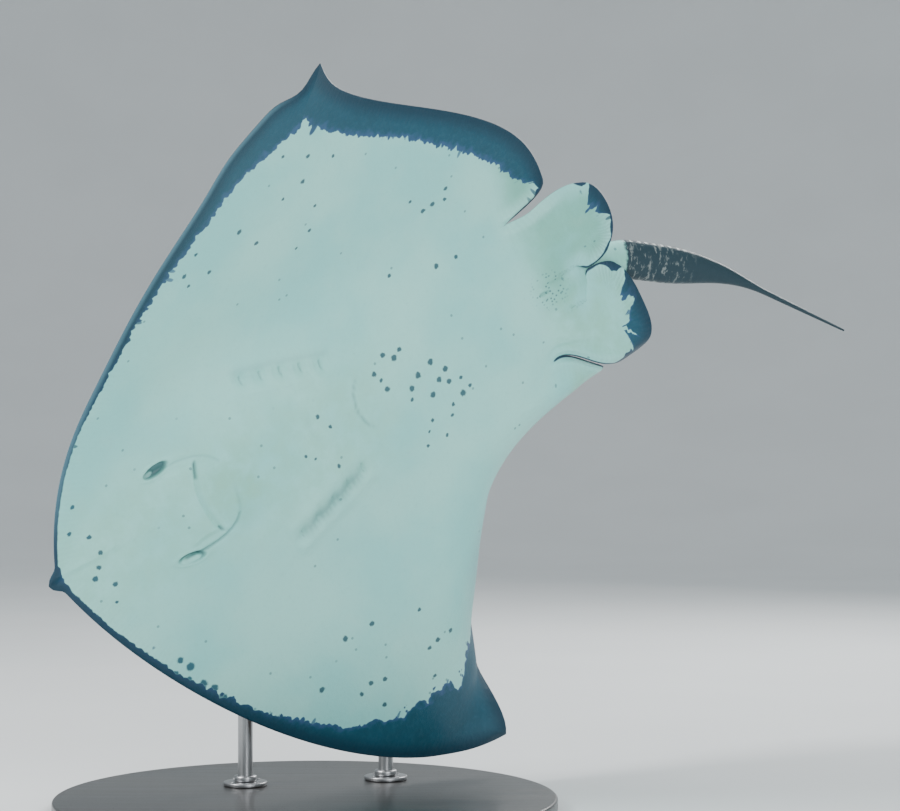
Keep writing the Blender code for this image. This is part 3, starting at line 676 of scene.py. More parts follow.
# %% [markdown]
# ## The skin, patch by patch
# One skin covers the whole animal. It starts as flat grids: a middle patch, two wings,
# two pelvic fins and the tail. Their columns and rows agree where they meet, so that
# they merge into one sheet with no seam. A grid primitive is laid on each patch of the
# plan, because an animal's form is a smooth field of heights, and a field is shaped
# better by its formula than by pulling at faces.
# %% Plans of the patches
ROWS, WING_COLUMNS, REAR_COLUMNS = 116, 70, 14
SIDE_COLUMNS, ROOT_COLUMNS, ROOT_ROWS, FREE_ROWS, TAIL_ROWS = 24, 14, 28, 34, 104
EVEN_ROWS = np.linspace(0.0, 1.0, ROWS + 1)
ROW_PARTS = 0.62 * EVEN_ROWS + 0.38 * (0.5 - 0.5 * np.cos(math.pi * EVEN_ROWS))
SIDE_X = np.linspace(TAIL_ROOT_HALF, AXIL[0], SIDE_COLUMNS + 1)
ROOT_ETA = np.linspace(-1.0, 1.0, ROOT_COLUMNS + 1)


def centre_plan():
    x = np.concatenate([-SIDE_X[::-1], TAIL_ROOT_HALF * ROOT_ETA[1:-1], SIDE_X])
    front = front_of(x)
    s = front[None] + ROW_PARTS[:, None] * (AXIL[1] - front[None])
    return x[None] + 0.0 * s, s


def wing_plan():
    """The right wing, from its root line to its tip."""
    front = LEADING[LEADING[:, 0] > AXIL[0]]
    front = np.concatenate([[[AXIL[0], front_of(AXIL[0])]], front])
    rear = np.concatenate([TRAILING, INNER[1:]])[::-1]
    ahead = along(front, np.linspace(0.0, 1.0, WING_COLUMNS + 1))
    inner = along(rear[:len(INNER)], np.linspace(0.0, 1.0, REAR_COLUMNS + 1))
    outer = along(rear[len(INNER) - 1:], np.linspace(0.0, 1.0, WING_COLUMNS - REAR_COLUMNS + 1))
    behind = np.concatenate([inner, outer[1:]])
    plan = ahead[None] + ROW_PARTS[:, None, None] * (behind - ahead)[None]
    return plan[..., 0], plan[..., 1]


def pelvic_plan():
    """The right pelvic fin, stretched between its four sides. Its inner side runs down
    the tail's root to the notch, and on along the free inner edge."""
    u = np.linspace(0.0, 1.0, SIDE_COLUMNS + 1)
    start = np.array([TAIL_ROOT_HALF, AXIL[1]])
    root = along(np.array([start, NOTCH]), np.linspace(0.0, 1.0, ROOT_ROWS + 1))
    free = along(PELVIC_FREE[::-1], np.linspace(0.0, 1.0, FREE_ROWS + 1))
    inner_side = np.concatenate([root, free[1:]])
    v = stations(inner_side) / stations(inner_side)[-1]
    front_side = along(np.array([start, AXIL]), u)
    rear_side = along(PELVIC_REAR[::-1], u)
    outer_side = along(PELVIC_OUTER, v)
    uu, vv = u[None, :, None], v[:, None, None]
    plan = (1 - vv) * front_side[None] + vv * rear_side[None]
    plan = plan + (1 - uu) * inner_side[:, None] + uu * outer_side[:, None]
    plan = plan - (1 - uu) * (1 - vv) * front_side[0] - uu * (1 - vv) * front_side[-1]
    plan = plan - (1 - uu) * vv * rear_side[0] - uu * vv * rear_side[-1]
    return plan[..., 0], plan[..., 1]


def tail_plan():
    """Across the tail's width, and along it from the axils to the tip."""
    root = np.linspace(AXIL[1], NOTCH[1], ROOT_ROWS + 1)
    s = np.concatenate([root, NOTCH[1] + TAIL_LENGTH * np.linspace(0.0, 1.0, TAIL_ROWS + 1)[1:]])
    half = np.interp(s, [AXIL[1], NOTCH[1]], [TAIL_ROOT_HALF, NOTCH[0]])
    return half[:, None] * ROOT_ETA[None], s[:, None] + 0.0 * ROOT_ETA[None]


# %% Laying a grid on a plan
def sheet(name, x, s):
    """A grid primitive laid flat on plan points."""
    rows, columns = x.shape
    patch = add(name, bpy.ops.mesh.primitive_grid_add,
                x_subdivisions=columns - 1, y_subdivisions=rows - 1, size=1)
    plan = np.stack([x, s, 0.0 * x], -1).astype("f")
    patch.data.vertices.foreach_set("co", plan.ravel())
    return patch


def points_of(patch):
    place = np.zeros(len(patch.data.vertices) * 3, "f")
    patch.data.vertices.foreach_get("co", place)
    return place.reshape(-1, 3).astype(float)


def refine(patch, wanted):
    """Halves the cells of a flat patch where wanted(x, s) holds."""
    centre = np.array([face.center for face in patch.data.polygons])
    pick_faces(patch, wanted(centre[:, 0], centre[:, 1]))
    edit(patch, bpy.ops.mesh.subdivide, number_cuts=1)


def flat_disc(name):
    patches = [sheet(name, *centre_plan())]
    x, s = wing_plan()
    patches += [sheet(name + "_wing", side * x, s) for side in (1, -1)]
    pick(*patches[::-1])
    bpy.ops.object.join()
    disc = bpy.context.object
    merge_points(disc, 0.00004)
    print(name, "faces:", len(disc.data.polygons))
    return disc


# %% [markdown]
# ## Finer cells where the detail is
# A wing needs only broad cells, but a nostril needs cells of about two millimetres. So
# the flat sheets are subdivided round the face, the gills and the vent on the belly side,
# and round the eyes and spiracles on the back.
# %% Fine fields
def field(off, s, half, first, last):
    """Which points lie in a box of the plan, by their distance off a line."""
    return (np.abs(off) < half) & (s > first) & (s < last)


def face_and_gills(x, s):
    return field(lean(x, s), s, 0.235, 0.225, 0.800)


def mouth_and_slits(x, s):
    mouth = field(lean(x, s), s, 0.132, 0.235, 0.450)
    return mouth | (from_line(np.abs(lean(x, s)), s, GILL_ROW)[0] < 0.022)


def eyes_and_spiracles(x, s):
    return field(np.abs(x) - 0.155, s, 0.045, 0.275, 0.450)


def vent_field(x, s):
    return field(x - VENT_PLACE[0], s, 0.019, 1.272, 1.322)


belly_disc = flat_disc("belly")
back_disc = flat_disc("back")
refine(belly_disc, face_and_gills)
refine(belly_disc, mouth_and_slits)
refine(back_disc, eyes_and_spiracles)
refine(back_disc, eyes_and_spiracles)
print("cells after refining:", len(belly_disc.data.polygons), len(back_disc.data.polygons))

# %% [markdown]
# ## The dark edge of the belly
# A dark slate border runs round the pale belly. It is narrow beside the snout and wide
# at the wing tips and along the hind edges, and it differs from side to side. Its width
# is given at a few places along the edge, in metres, and runs straight between them.
# %% Width of the dark border
BORDER = {
    -1: ((0.00, 0.035), (0.02, 0.035), (0.045, 0.006), (0.35, 0.010), (0.65, 0.026),
         (0.95, 0.056), (1.20, 0.114), (1.35, 0.104), (1.70, 0.075), (2.00, 0.085),
         (2.18, 0.076), (2.30, 0.010), (2.44, -0.004), (2.59, -0.004), (2.68, 0.042),
         (2.75, 0.010), (2.92, 0.003), (2.95, -0.004)),
    1: ((0.00, 0.035), (0.02, 0.035), (0.045, 0.011), (0.40, 0.018), (0.65, 0.036),
        (0.83, 0.058), (0.95, 0.100), (1.10, 0.180), (1.35, 0.205), (1.55, 0.112),
        (1.65, 0.064), (1.80, 0.045), (2.10, 0.050), (2.25, 0.004), (2.54, 0.002),
        (2.65, 0.084), (2.80, 0.018), (2.91, 0.004), (2.94, -0.004)),
}


def border_width(x, place):
    """Width of the dark border at the nearest place of the edge."""
    width = np.zeros(np.shape(x))
    for side in (1, -1):
        here = on_side(x, side)
        at, wide = zip(*BORDER[side])
        width[here] = np.interp(place[here], at, wide)
    return width


# %% [markdown]
# ## Raising the sheets
# Now the flat sheets get their heights and their pose. Each point also keeps notes for
# the finish: its place on the plan, its distance from the edge and place along it, the
# border's width, how much painted shade its hollow gets, and how far down the tail it is.
# %% Raising and noting
KEEL_POWER = {1: 3.0, -1: 2.0}       # how the tail root's sides drop, on back and belly
RELIEF_FADE = 0.012                  # from the edge to where the relief is whole


def note(patch, name, values, kind="FLOAT"):
    layer = patch.data.attributes.new(name, kind, "POINT")
    layer.data.foreach_set("vector" if kind == "FLOAT_VECTOR" else "value",
                           np.ascontiguousarray(values, "f").ravel())


def note_all(patch, x, s, up, **notes):
    note(patch, "plan", np.stack([x, s, np.full(len(x), float(up))], -1), "FLOAT_VECTOR")
    for name, values in notes.items():
        note(patch, name, values)


def set_points(patch, body_points):
    patch.data.vertices.foreach_set("co", in_the_room(body_points).astype("f").ravel())
    patch.data.update()


def shape_of(x, s, gap, up):
    """Height of one side of the body with its fine relief, and the painted shade of its hollows."""
    height, relief_of = (back_height, back_relief) if up > 0 else (belly_height, belly_relief)
    relief, hollow = relief_of(x, s)
    return height(x, s, soft_gap(x, s, gap)) + relief * smooth(gap / RELIEF_FADE), hollow


def disc_edge(x, s):
    """Wings know only the disc's edge, the middle also that of the pelvic fins."""
    wing_gap, wing_place = nearest(x, s, DISC_MARGIN)
    gap, place = nearest(x, s, WHOLE_MARGIN)
    on_wing = np.abs(x) > AXIL[0] + 1e-6
    return np.where(on_wing, wing_gap, gap), np.where(on_wing, wing_place, place)


def raise_patch(patch, up, is_fin=False):
    """A disc or fin patch: up is 1 for the back and -1 for the belly."""
    plan = points_of(patch)
    x, s = plan[:, 0], plan[:, 1]
    gap, place = disc_edge(x, s)
    if is_fin:
        gap, place = nearest(x, s, PELVIC_MARGIN)
        place = place + stations(DISC_MARGIN)[-1]
    high, hollow = shape_of(x, s, gap, up)
    hang = pelvic_drop(s) if is_fin else 0.0
    set_points(patch, pose_disc(*settle(x, s), up * high - hang))
    note_all(patch, x, s, up, edge=gap, along=place, border=border_width(x, place),
             hollow=hollow, tail=0.0 * x)


def raise_tail(patch, up):
    """The tail's patch: its root is blended with the body's heights, and behind the notch
    it follows the tail's own line."""
    plan = points_of(patch)
    x, s = plan[:, 0], plan[:, 1]
    part = np.clip((s - AXIL[1]) / (NOTCH[1] - AXIL[1]), 0.0, 1.0)
    plan_half = TAIL_ROOT_HALF + (NOTCH[0] - TAIL_ROOT_HALF) * part
    eta = np.clip(x / plan_half, -1.0, 1.0)
    gap = margin_distance(x, s, WHOLE_MARGIN)
    high, hollow = shape_of(x, s, gap, up)
    power = 4.0 + 60.0 * smooth((part - 0.65) / 0.35)
    share = smooth(part) * (1.0 - np.abs(eta) ** power)
    tall = EDGE_HALF + (tail_half(0.0, TAIL_FLAT_THICK) - EDGE_HALF) * np.cos(0.5 * math.pi * eta)
    keel = pelvic_drop(s) / PELVIC_DROP * tail_keel(eta, 0.0, KEEL_POWER[up])
    root = pose_disc(x, s, up * ((1.0 - share) * high + share * tall) - keel)

    q = np.clip(s - NOTCH[1], 0.0, None)
    half, tall = tail_half(q, TAIL_FLAT_HALF), tail_half(q, TAIL_FLAT_THICK)
    start, widen = smooth(q / 0.05), smooth(q / 0.14)
    half = (1.0 - widen) * NOTCH[0] + widen * half
    across = half * (np.sin(0.5 * math.pi * eta) * start + eta * (1.0 - start))
    rim = np.minimum(EDGE_HALF, 0.3 * tall)
    high = rim + (tall - rim) * np.cos(0.5 * math.pi * eta)
    whip = pose_tail(across, q, up * high - tail_keel(eta, q, KEEL_POWER[up]))
    notch, level = eta * NOTCH[0], 0.0 * eta
    step = pose_disc(notch, level + NOTCH[1], level) - pose_tail(notch, level, level)
    whip = whip + step * (1.0 - smooth(q / 0.050))[:, None]
    past = s >= NOTCH[1] - 1e-6
    set_points(patch, np.where(past[:, None], whip, root))
    note_all(patch, np.where(past, across, x), s, up,
             edge=np.where(past, half * (1.0 - np.abs(eta)), gap), along=s, border=0.0 * x,
             hollow=np.where(past, 0.0, hollow), tail=q)


def raised_side(disc, up):
    """One whole side of the animal, from its patches."""
    raise_patch(disc, up)
    x, s = pelvic_plan()
    parts = []
    for side in (1, -1):
        fin = sheet("pelvic", side * x, s)
        raise_patch(fin, up, is_fin=True)
        parts.append(fin)
    tail = sheet("tail", *tail_plan())
    if up < 0:
        refine(tail, vent_field)
        refine(tail, vent_field)
    raise_tail(tail, up)
    pick(*parts, tail, disc)
    bpy.ops.object.join()
    merge_points(disc, 0.00002)
    return disc


belly = raised_side(belly_disc, -1)
back = raised_side(back_disc, 1)
print("points on belly and back:", len(belly.data.vertices), len(back.data.vertices))


# %% [markdown]
# ## Closing the skin round the edge
# Belly and back are two sheets with the same outline, a few millimetres apart. The
# belly's border is extruded twice: the first new row stands half way, pushed out a
# little so that the edge of a fin is round, and the second lands on the back's border,
# where the two sheets are merged. The plan says which points belong together.
# %% Closing the skin
RIM_ROUND = 0.0011


def read_note(patch, name, width=1):
    values = np.zeros(len(patch.data.vertices) * width, "f")
    patch.data.attributes[name].data.foreach_get("vector" if width == 3 else "value", values)
    return values.reshape(-1, width) if width > 1 else values


def border_points(patch):
    """Numbers of the points on the open border of a sheet."""
    faces_on = np.zeros(len(patch.data.edges), int)
    sides = np.zeros(len(patch.data.loops), int)
    patch.data.loops.foreach_get("edge_index", sides)
    np.add.at(faces_on, sides, 1)
    ends = np.zeros(len(patch.data.edges) * 2, int)
    patch.data.edges.foreach_get("vertices", ends)
    return np.unique(ends.reshape(-1, 2)[faces_on == 1])


def place_key(plan):
    return [(round(float(x), 5), round(float(s), 5)) for x, s in plan[:, :2]]


def extrude_border(patch):
    """Extrudes the open border in place, and returns the new points' numbers."""
    before = len(patch.data.vertices)
    enter_on_open_border(patch)
    bpy.ops.mesh.extrude_edges_move()
    bpy.ops.object.mode_set(mode="OBJECT")
    return np.arange(before, len(patch.data.vertices))


back_plan, back_place = read_note(back, "plan", 3), points_of(back)
back_border = border_points(back)
over = dict(zip(place_key(back_plan[back_border]), back_place[back_border]))
middle_row = extrude_border(belly)
last_row = extrude_border(belly)
belly_plan, belly_place = read_note(belly, "plan", 3), points_of(belly)
target = np.array([over[key] for key in place_key(belly_plan[last_row])])
centre = dict(zip(place_key(belly_plan[last_row]), target))
belly_place[last_row] = target
facing = np.array([centre[key] for key in place_key(belly_plan[middle_row])])
belly_place[middle_row] = 0.5 * (belly_place[middle_row] + facing)
belly_plan[middle_row, 2] = 0.0
belly_plan[last_row, 2] = 1.0
belly.data.vertices.foreach_set("co", belly_place.astype("f").ravel())
belly.data.attributes["plan"].data.foreach_set("vector", belly_plan.ravel())
belly.vertex_groups.new(name="rim").add([int(k) for k in middle_row], 1.0, "REPLACE")

pick(back, belly)
bpy.ops.object.join()
skin = bpy.context.object
skin.name = "ray_skin"
skin.data.name = "ray_skin"
merge_points(skin, 0.000005)
edit(skin, bpy.ops.mesh.normals_make_consistent, inside=False)
bpy.ops.object.mode_set(mode="EDIT")
bpy.ops.mesh.select_mode(type="VERT")
bpy.ops.mesh.select_all(action="DESELECT")
bpy.ops.object.vertex_group_select()
bpy.ops.transform.shrink_fatten(value=RIM_ROUND)
bpy.ops.mesh.select_all(action="SELECT")
bpy.ops.mesh.quads_convert_to_tris(quad_method="BEAUTY", ngon_method="BEAUTY")
bpy.ops.object.mode_set(mode="OBJECT")
skin.vertex_groups.clear()
pick(skin)
bpy.ops.object.shade_smooth()
print("rim points:", len(middle_row), "open border points left:", len(border_points(skin)))
print("triangles of skin:", len(skin.data.polygons))


# %% [markdown]
# ## Writing a finish as sums
# A procedural finish is a web of nodes. Wrapping each socket in a small class lets the
# web be written as ordinary arithmetic, and one method makes every other node.
# %% The finish kit
def sum_method(operation, is_turned=False):
    """A method of Wire that puts one node between a wire and another value."""
    def method(self, other):
        first, second = (other, self) if is_turned else (self, other)
        return self.finish.sum(operation, first, second)
    return method


class Wire:
    """A socket of a finish that takes part in sums."""

    def __init__(self, finish, socket):
        self.finish, self.socket = finish, socket

    __add__, __radd__ = sum_method("ADD"), sum_method("ADD", is_turned=True)
    __sub__, __rsub__ = sum_method("SUBTRACT"), sum_method("SUBTRACT", is_turned=True)
    __mul__, __rmul__ = sum_method("MULTIPLY"), sum_method("MULTIPLY", is_turned=True)
    __truediv__ = sum_method("DIVIDE")

    def parts(self):
        """The three numbers of a vector."""
        split = self.finish.node("SeparateXYZ", None, {0: self})
        return [Wire(self.finish, out) for out in split.socket.node.outputs]


class Finish:
    """A material, built node by node."""

    def __init__(self, name, **constants):
        self.material = bpy.data.materials.new(name)
        self.material.use_nodes = True
        self.tree = self.material.node_tree
        self.shader = self.tree.nodes["Principled BSDF"]
        for socket, value in constants.items():
            self.shader.inputs[socket.replace("_", " ")].default_value = value

    def node(self, kind, settings=None, inputs=None, out=0):
        made = self.tree.nodes.new("ShaderNode" + kind)
        for key, value in (settings or {}).items():
            setattr(made, key, value)
        for key, value in (inputs or {}).items():
            if isinstance(value, Wire):
                self.tree.links.new(value.socket, made.inputs[key])
            else:
                made.inputs[key].default_value = value
        return Wire(self, made.outputs[out])

    def sum(self, operation, a, b):
        return self.node("Math", {"operation": operation}, {0: a, 1: b})

    def attribute(self, name, out="Fac"):
        return self.node("Attribute", {"attribute_name": name}, out=out)

    def step(self, value, low, high):
        """0 at low, 1 at high, eased between."""
        return self.node("MapRange", {"interpolation_type": "SMOOTHSTEP"},
                         {"Value": value, "From Min": low, "From Max": high})

    def mix(self, share, a, b):
        a, b = (v if isinstance(v, Wire) else (*v, 1.0) for v in (a, b))
        return self.node("Mix", {"data_type": "RGBA"}, {0: share, 6: a, 7: b}, out=2)

    def noise(self, at, scale, detail=3.0, rough=0.5):
        return self.node("TexNoise", None, {"Vector": at, "Scale": scale, "Detail": detail,
                                            "Roughness": rough})

    def cells(self, at, scale, out="Distance"):
        """Flat round cells: the distance from the middle of the nearest."""
        return self.node("TexVoronoi", {"voronoi_dimensions": "2D"}, {"Vector": at, "Scale": scale},
                         out=out)

    def few(self, at, scale, size, share):
        """Flecks in a share of the cells, fading between two sizes."""
        luck = self.node("SeparateXYZ", None, {0: self.cells(at, scale, out="Color")})
        return self.step(self.cells(at, scale), *size) * self.step(luck, *share)

    def most(self, *values):
        """The largest of several."""
        best = values[0]
        for value in values[1:]:
            best = self.sum("MAXIMUM", best, value)
        return best

    def vectors(self, operation, a, b, out="Vector"):
        return self.node("VectorMath", {"operation": operation}, {0: a, 1: b}, out=out)

    def apart(self, at, place):
        """Distance between two places."""
        return self.vectors("DISTANCE", at, place, out="Value")

    def strayed(self, at, scale, reach):
        """A place shifted by noise, so that what is drawn from it wavers."""
        noise = self.node("TexNoise", None, {"Vector": at, "Scale": scale}, out="Color")
        shift = self.node("VectorMath", {"operation": "SCALE"}, {0: noise, "Scale": reach})
        return self.vectors("ADD", at, shift)

    def into(self, socket, wire):
        self.tree.links.new(wire.socket, self.shader.inputs[socket])

    def bump(self, height, depth):
        bump = self.node("Bump", None, {"Height": height, "Distance": depth})
        self.into("Normal", bump)


# %% [markdown]
# ## Spots on the belly
# Small dark spots are strewn over the belly in loose groups: a bow of large ones behind
# the gills, thin scatters over the wings, blots beside the front edge of the right wing
# and flecks near the snout. Each group is an oval on the plan, and chance places its
# spots inside, so their number and size follow the animal but no spot is copied.
# %% Groups of spots
#   centre (x, s), half length, half width, turn in degrees, how many, radius; metres
SPOT_GROUPS = {
    "bow": ((0.00, 0.93), 0.16, 0.06, 50, 18, 0.0066),
    "beside the bow": ((0.13, 0.93), 0.07, 0.05, 90, 5, 0.0050),
    "right wing": ((0.55, 0.62), 0.20, 0.13, 80, 12, 0.0064),
    "right edge": ((0.36, 0.19), 0.09, 0.02, 30, 8, 0.0095),
    "left wing": ((-0.62, 0.72), 0.20, 0.14, 60, 10, 0.0056),
    "left front": ((-0.60, 0.46), 0.08, 0.06, 0, 4, 0.0052),
    "left rear": ((-0.30, 1.05), 0.18, 0.12, 20, 8, 0.0058),
    "breast": ((0.00, 0.65), 0.10, 0.08, 0, 5, 0.0046),
    "snout": ((-0.03, 0.09), 0.15, 0.04, 0, 8, 0.0058),
}
SPOT_APART = 0.022                   # least distance between two spots
draw = np.random.RandomState(11)


def scatter(centre, half_long, half_wide, turn, count, radius, taken):
    """Adds spots by chance inside a turned oval, each clear of the others."""
    cos, sin = math.cos(math.radians(turn)), math.sin(math.radians(turn))
    wanted = len(taken) + count
    while len(taken) < wanted:
        reach, around = math.sqrt(draw.uniform(0, 1)), draw.uniform(0, 2 * math.pi)
        far, wide = half_long * reach * math.cos(around), half_wide * reach * math.sin(around)
        x, s = centre[0] + far * cos - wide * sin, centre[1] + far * sin + wide * cos
        if all(math.hypot(x - other[0], s - other[1]) > SPOT_APART for other in taken):
            taken.append((x, s, radius * draw.uniform(0.70, 1.20)))


spots = []
for group in SPOT_GROUPS.values():
    scatter(*group, spots)
print("spots on the belly:", len(spots))

# %% [markdown]
# ## The skin's finish
# The belly is a pale aqua, with a greenish painted shade round the jaw, over the trunk and
# on the fins, darker painted shade on the left fin and where the right wing curls away, and
# painted shade in its hollows. The border is a blue slate with a bluer line along its inner
# side and a painted highlight on the left wing's front edge, and the back grey-brown with
# pale spots along its edges and painted shade in its hollows. The notes kept on the skin say
# where each goes, and noise breaks every line up.
# %% Skin colours
# Of these colours, the green, the fin, the curl and the hollow colours are painted shade, and the
# slate's highlight is a painted highlight.
BELLY_WARM, BELLY_COOL = (0.375, 0.780, 0.705), (0.285, 0.705, 0.665)
BELLY_GREEN_SHADE, BELLY_LIGHT = (0.270, 0.625, 0.490), (0.430, 0.750, 0.680)
BELLY_FLECK, FIN_SHADE = (0.250, 0.560, 0.500), (0.150, 0.460, 0.370)
FIN_RAY, CURL_SHADE_COLOUR = (0.220, 0.460, 0.410), (0.150, 0.270, 0.310)
SLATE, SLATE_LINE, SLATE_EDGE = (0.010, 0.078, 0.122), (0.040, 0.105, 0.230), (0.005, 0.036, 0.064)
SLATE_DEEP, SLATE_PALE, SLATE_HIGHLIGHT = (0.008, 0.060, 0.088), (0.028, 0.115, 0.165), (0.095, 0.225, 0.285)
SPOT_COLOUR, HOLLOW_SHADE_COLOUR = (0.024, 0.088, 0.118), (0.042, 0.120, 0.130)
BACK_DARK, BACK_LIGHT, BACK_SPOT = (0.075, 0.062, 0.055), (0.190, 0.155, 0.130), (0.640, 0.640, 0.590)
BACK_FLECK, BACK_EDGE, BACK_HOLLOW_SHADE = (0.060, 0.050, 0.045), (0.045, 0.045, 0.055), (0.012, 0.012, 0.014)
DENTICLE = (0.250, 0.215, 0.180)
TAIL_DARK, TAIL_PALE, TAIL_DOT = (0.012, 0.038, 0.052), (0.360, 0.400, 0.380), (0.560, 0.620, 0.590)
TAIL_BACK = (0.028, 0.028, 0.032)
JAW_MIDDLE, VENT_MIDDLE = (-0.015, 0.428, 0.0), (-0.022, 1.308, 0.0)
SPOT_WAVER = 0.007                   # how far noise moves a spot's outline
ON_BACK = (-0.25, 0.25)              # the note that runs from -1 on the belly to 1 on the back


def read_notes(f):
    """Gives a finish the skin's notes and the noises that its parts share."""
    f.x, f.s, f.up = f.attribute("plan", out="Vector").parts()
    f.flat = f.node("CombineXYZ", None, {0: f.x, 1: f.s})
    f.edge, f.border, f.along = (f.attribute(name) for name in ("edge", "border", "along"))
    f.hollow, f.tail = f.attribute("hollow"), f.attribute("tail")
    f.wide, f.middle = f.noise(f.flat, 3.4, 3.0), f.noise(f.flat, 17.0, 4.0, 0.6)
    f.small, f.fine = f.noise(f.flat, 85.0, 4.0, 0.6), f.noise(f.flat, 420.0, 2.0)


# %% The dark border
def border_finish(f):
    """How dark the border is at a place, and its colour. The right side has round lobes,
    the left fine teeth, and both have a few tongues and dashes ahead of them. A painted
    highlight lightens the left wing's front edge."""
    right = f.step(f.x, -0.05, 0.05)
    lobes = (0.38 - f.cells(f.flat, 30.0)) * 0.036
    lobes = lobes * (0.35 + 0.65 * f.step(f.border, 0.030, 0.140))
    lobes = lobes + (0.40 - f.cells(f.flat, 78.0)) * 0.012
    across = f.node("CombineXYZ", None, {0: f.along, 1: f.edge * 0.35})
    bays = (0.40 - f.cells(across, 27.0)) * 0.075 * f.step(f.along, 2.55, 2.60)
    nicks = (0.45 - f.cells(f.flat, 62.0)) * 0.011
    teeth = (0.45 - f.cells(across, 80.0)) * 0.011
    wobble = right * lobes + (1.0 - right) * (nicks + teeth) + (f.middle - 0.5) * 0.012 + bays
    inside = f.border - f.edge + wobble * f.step(f.border, 0.002, 0.030)
    reach = f.step(inside, -0.026, -0.020) * f.step(f.border, 0.012, 0.020)
    tongues = f.few(across, 15.0, (0.115, 0.085), (0.60, 0.61)) * reach
    dashes = f.few(across, 44.0, (0.24, 0.16), (0.78, 0.79)) * f.step(inside, -0.020, -0.014)
    dashes = dashes * f.step(f.border, 0.005, 0.010)
    dark = f.most(f.step(inside, -0.0010, 0.0014), tongues, dashes * 0.8)
    slate = f.mix(f.step(inside, 0.0, 0.018), SLATE_LINE, SLATE)
    slate = f.mix(f.step(f.middle, 0.40, 0.72) * 0.40, slate, SLATE_DEEP)
    slate = f.mix(f.step(f.small, 0.42, 0.75) * 0.50, slate, SLATE_PALE)
    slate = f.mix(f.step(f.edge, 0.050, 0.004) * 0.85, slate, SLATE_EDGE)
    # painted highlight along the left wing's front edge, as if lit from above
    rim_highlight = f.step(f.edge, 0.014, 0.002) * f.step(f.x, -0.05, -0.20) * f.step(f.along, 1.27, 1.15)
    return dark, f.mix(rim_highlight * 0.65, slate, SLATE_HIGHLIGHT)


# %% Spots on the belly
def spot_finish(f):
    """How dark the spots, stray flecks and the crumbs round the vent are at a place."""
    wavering, half = f.strayed(f.flat, 130.0, SPOT_WAVER), 0.5 * SPOT_WAVER
    nearest_spot = None
    for spot_x, spot_s, radius in spots:
        away = f.apart(wavering, (spot_x + half, spot_s + half, half)) / radius
        nearest_spot = away if nearest_spot is None else f.sum("MINIMUM", nearest_spot, away)
    stray = f.few(f.flat, 34.0, (0.13, 0.08), (0.950, 0.960))
    near_vent = f.step(f.apart(f.flat, VENT_MIDDLE), 0.060, 0.022)
    crumbs = f.few(f.flat, 130.0, (0.36, 0.22), (0.58, 0.60)) * near_vent
    return f.most(f.step(nearest_spot, 1.20, 0.70), stray * 0.55, crumbs * 0.75)


# %% The belly
def belly_finish(f):
    """The belly's colour without border and spots, with its painted shade, and the fin rays near its
    edge.
    """
    fins = f.step(f.s, 1.250, 1.330) * f.step(f.edge, 0.004, 0.045)
    trunk = f.step(f.sum("ABSOLUTE", f.x, 0.0), 0.22, 0.05) * f.step(f.s, 0.95, 0.70)
    jaw = f.step(f.apart(f.flat, JAW_MIDDLE), 0.150, 0.03)
    # greenish painted shade round the jaw, over the trunk and on the fins
    green_shade = f.most(jaw * 0.95, fins * 0.90, trunk * 0.50)
    pale = f.mix(f.step(f.wide, 0.36, 0.66), BELLY_WARM, BELLY_COOL)
    pale = f.mix(green_shade * f.step(f.middle, 0.25, 0.70), pale, BELLY_GREEN_SHADE)
    # darker painted shade on the left pelvic fin
    pale = f.mix(fins * f.step(f.x, 0.08, -0.05) * (0.35 + f.middle * 0.4), pale, FIN_SHADE)
    pale = f.mix(f.step(f.middle, 0.50, 0.85) * 0.28, pale, BELLY_LIGHT)
    pale = f.mix(f.step(f.small, 0.50, 0.85) * 0.24, pale, BELLY_FLECK)
    rays = f.sum("SINE", f.along * 520.0 + f.middle * 13.0 + f.small * 3.0, 0.0) * 0.5 + 0.5
    free = f.step(f.along, 2.60, 2.68) * f.step(f.along, 2.92, 2.86)
    rays = rays * (f.step(f.edge, 0.085, 0.012) * f.most(free, 0.20)) * 0.40
    pale = f.mix(rays, pale, FIN_RAY)
    # painted shade where the right wing's hind part curls away from the light
    curl_shade = f.step(f.edge, 0.310, 0.170) * f.step(f.s, 0.78, 0.94) * f.step(f.x, 0.26, 0.48)
    return f.mix(curl_shade * 0.50, pale, CURL_SHADE_COLOUR), rays


# %% The back
def back_finish(f):
    """The back's colour with painted shade in its hollows, and the small rough denticles along its
    middle.
    """
    shade = f.mix(f.step(f.middle, 0.35, 0.70), BACK_DARK, BACK_LIGHT)
    shade = f.mix(f.step(f.small, 0.45, 0.75) * 0.45, shade, BACK_FLECK)
    shade = f.mix(f.step(f.edge, 0.040, 0.004) * 0.6, shade, BACK_EDGE)
    bent = f.strayed(f.flat, 55.0, 0.010)
    chosen, size, _ = f.cells(bent, 22.0, out="Color").parts()
    cell = f.cells(bent, 22.0) + (size - 0.5) * 0.13
    belt = f.step(f.edge, 0.014, 0.028) * f.step(f.edge, 0.150, 0.070)
    white = f.step(cell, 0.225, 0.165) * belt * f.step(chosen, 0.42, 0.44)
    rough = f.step(f.sum("ABSOLUTE", f.x, 0.0), 0.20, 0.06) * f.step(f.s, 0.34, 0.46)
    rough = rough * f.step(f.s, 1.36, 1.20) * f.step(f.up, *ON_BACK)
    denticles = f.step(f.cells(f.flat, 210.0), 0.42, 0.10) * (0.25 + rough * 0.75)
    shade = f.mix(denticles * rough * 0.38, shade, DENTICLE)
    shade = f.mix(white * 0.85, shade, BACK_SPOT)
    # painted shade in the spiracles and the eye folds
    shade = f.mix(f.hollow, shade, BACK_HOLLOW_SHADE)
    return f.mix(f.step(f.tail, 0.20, 0.40) * 0.8, shade, TAIL_BACK), denticles


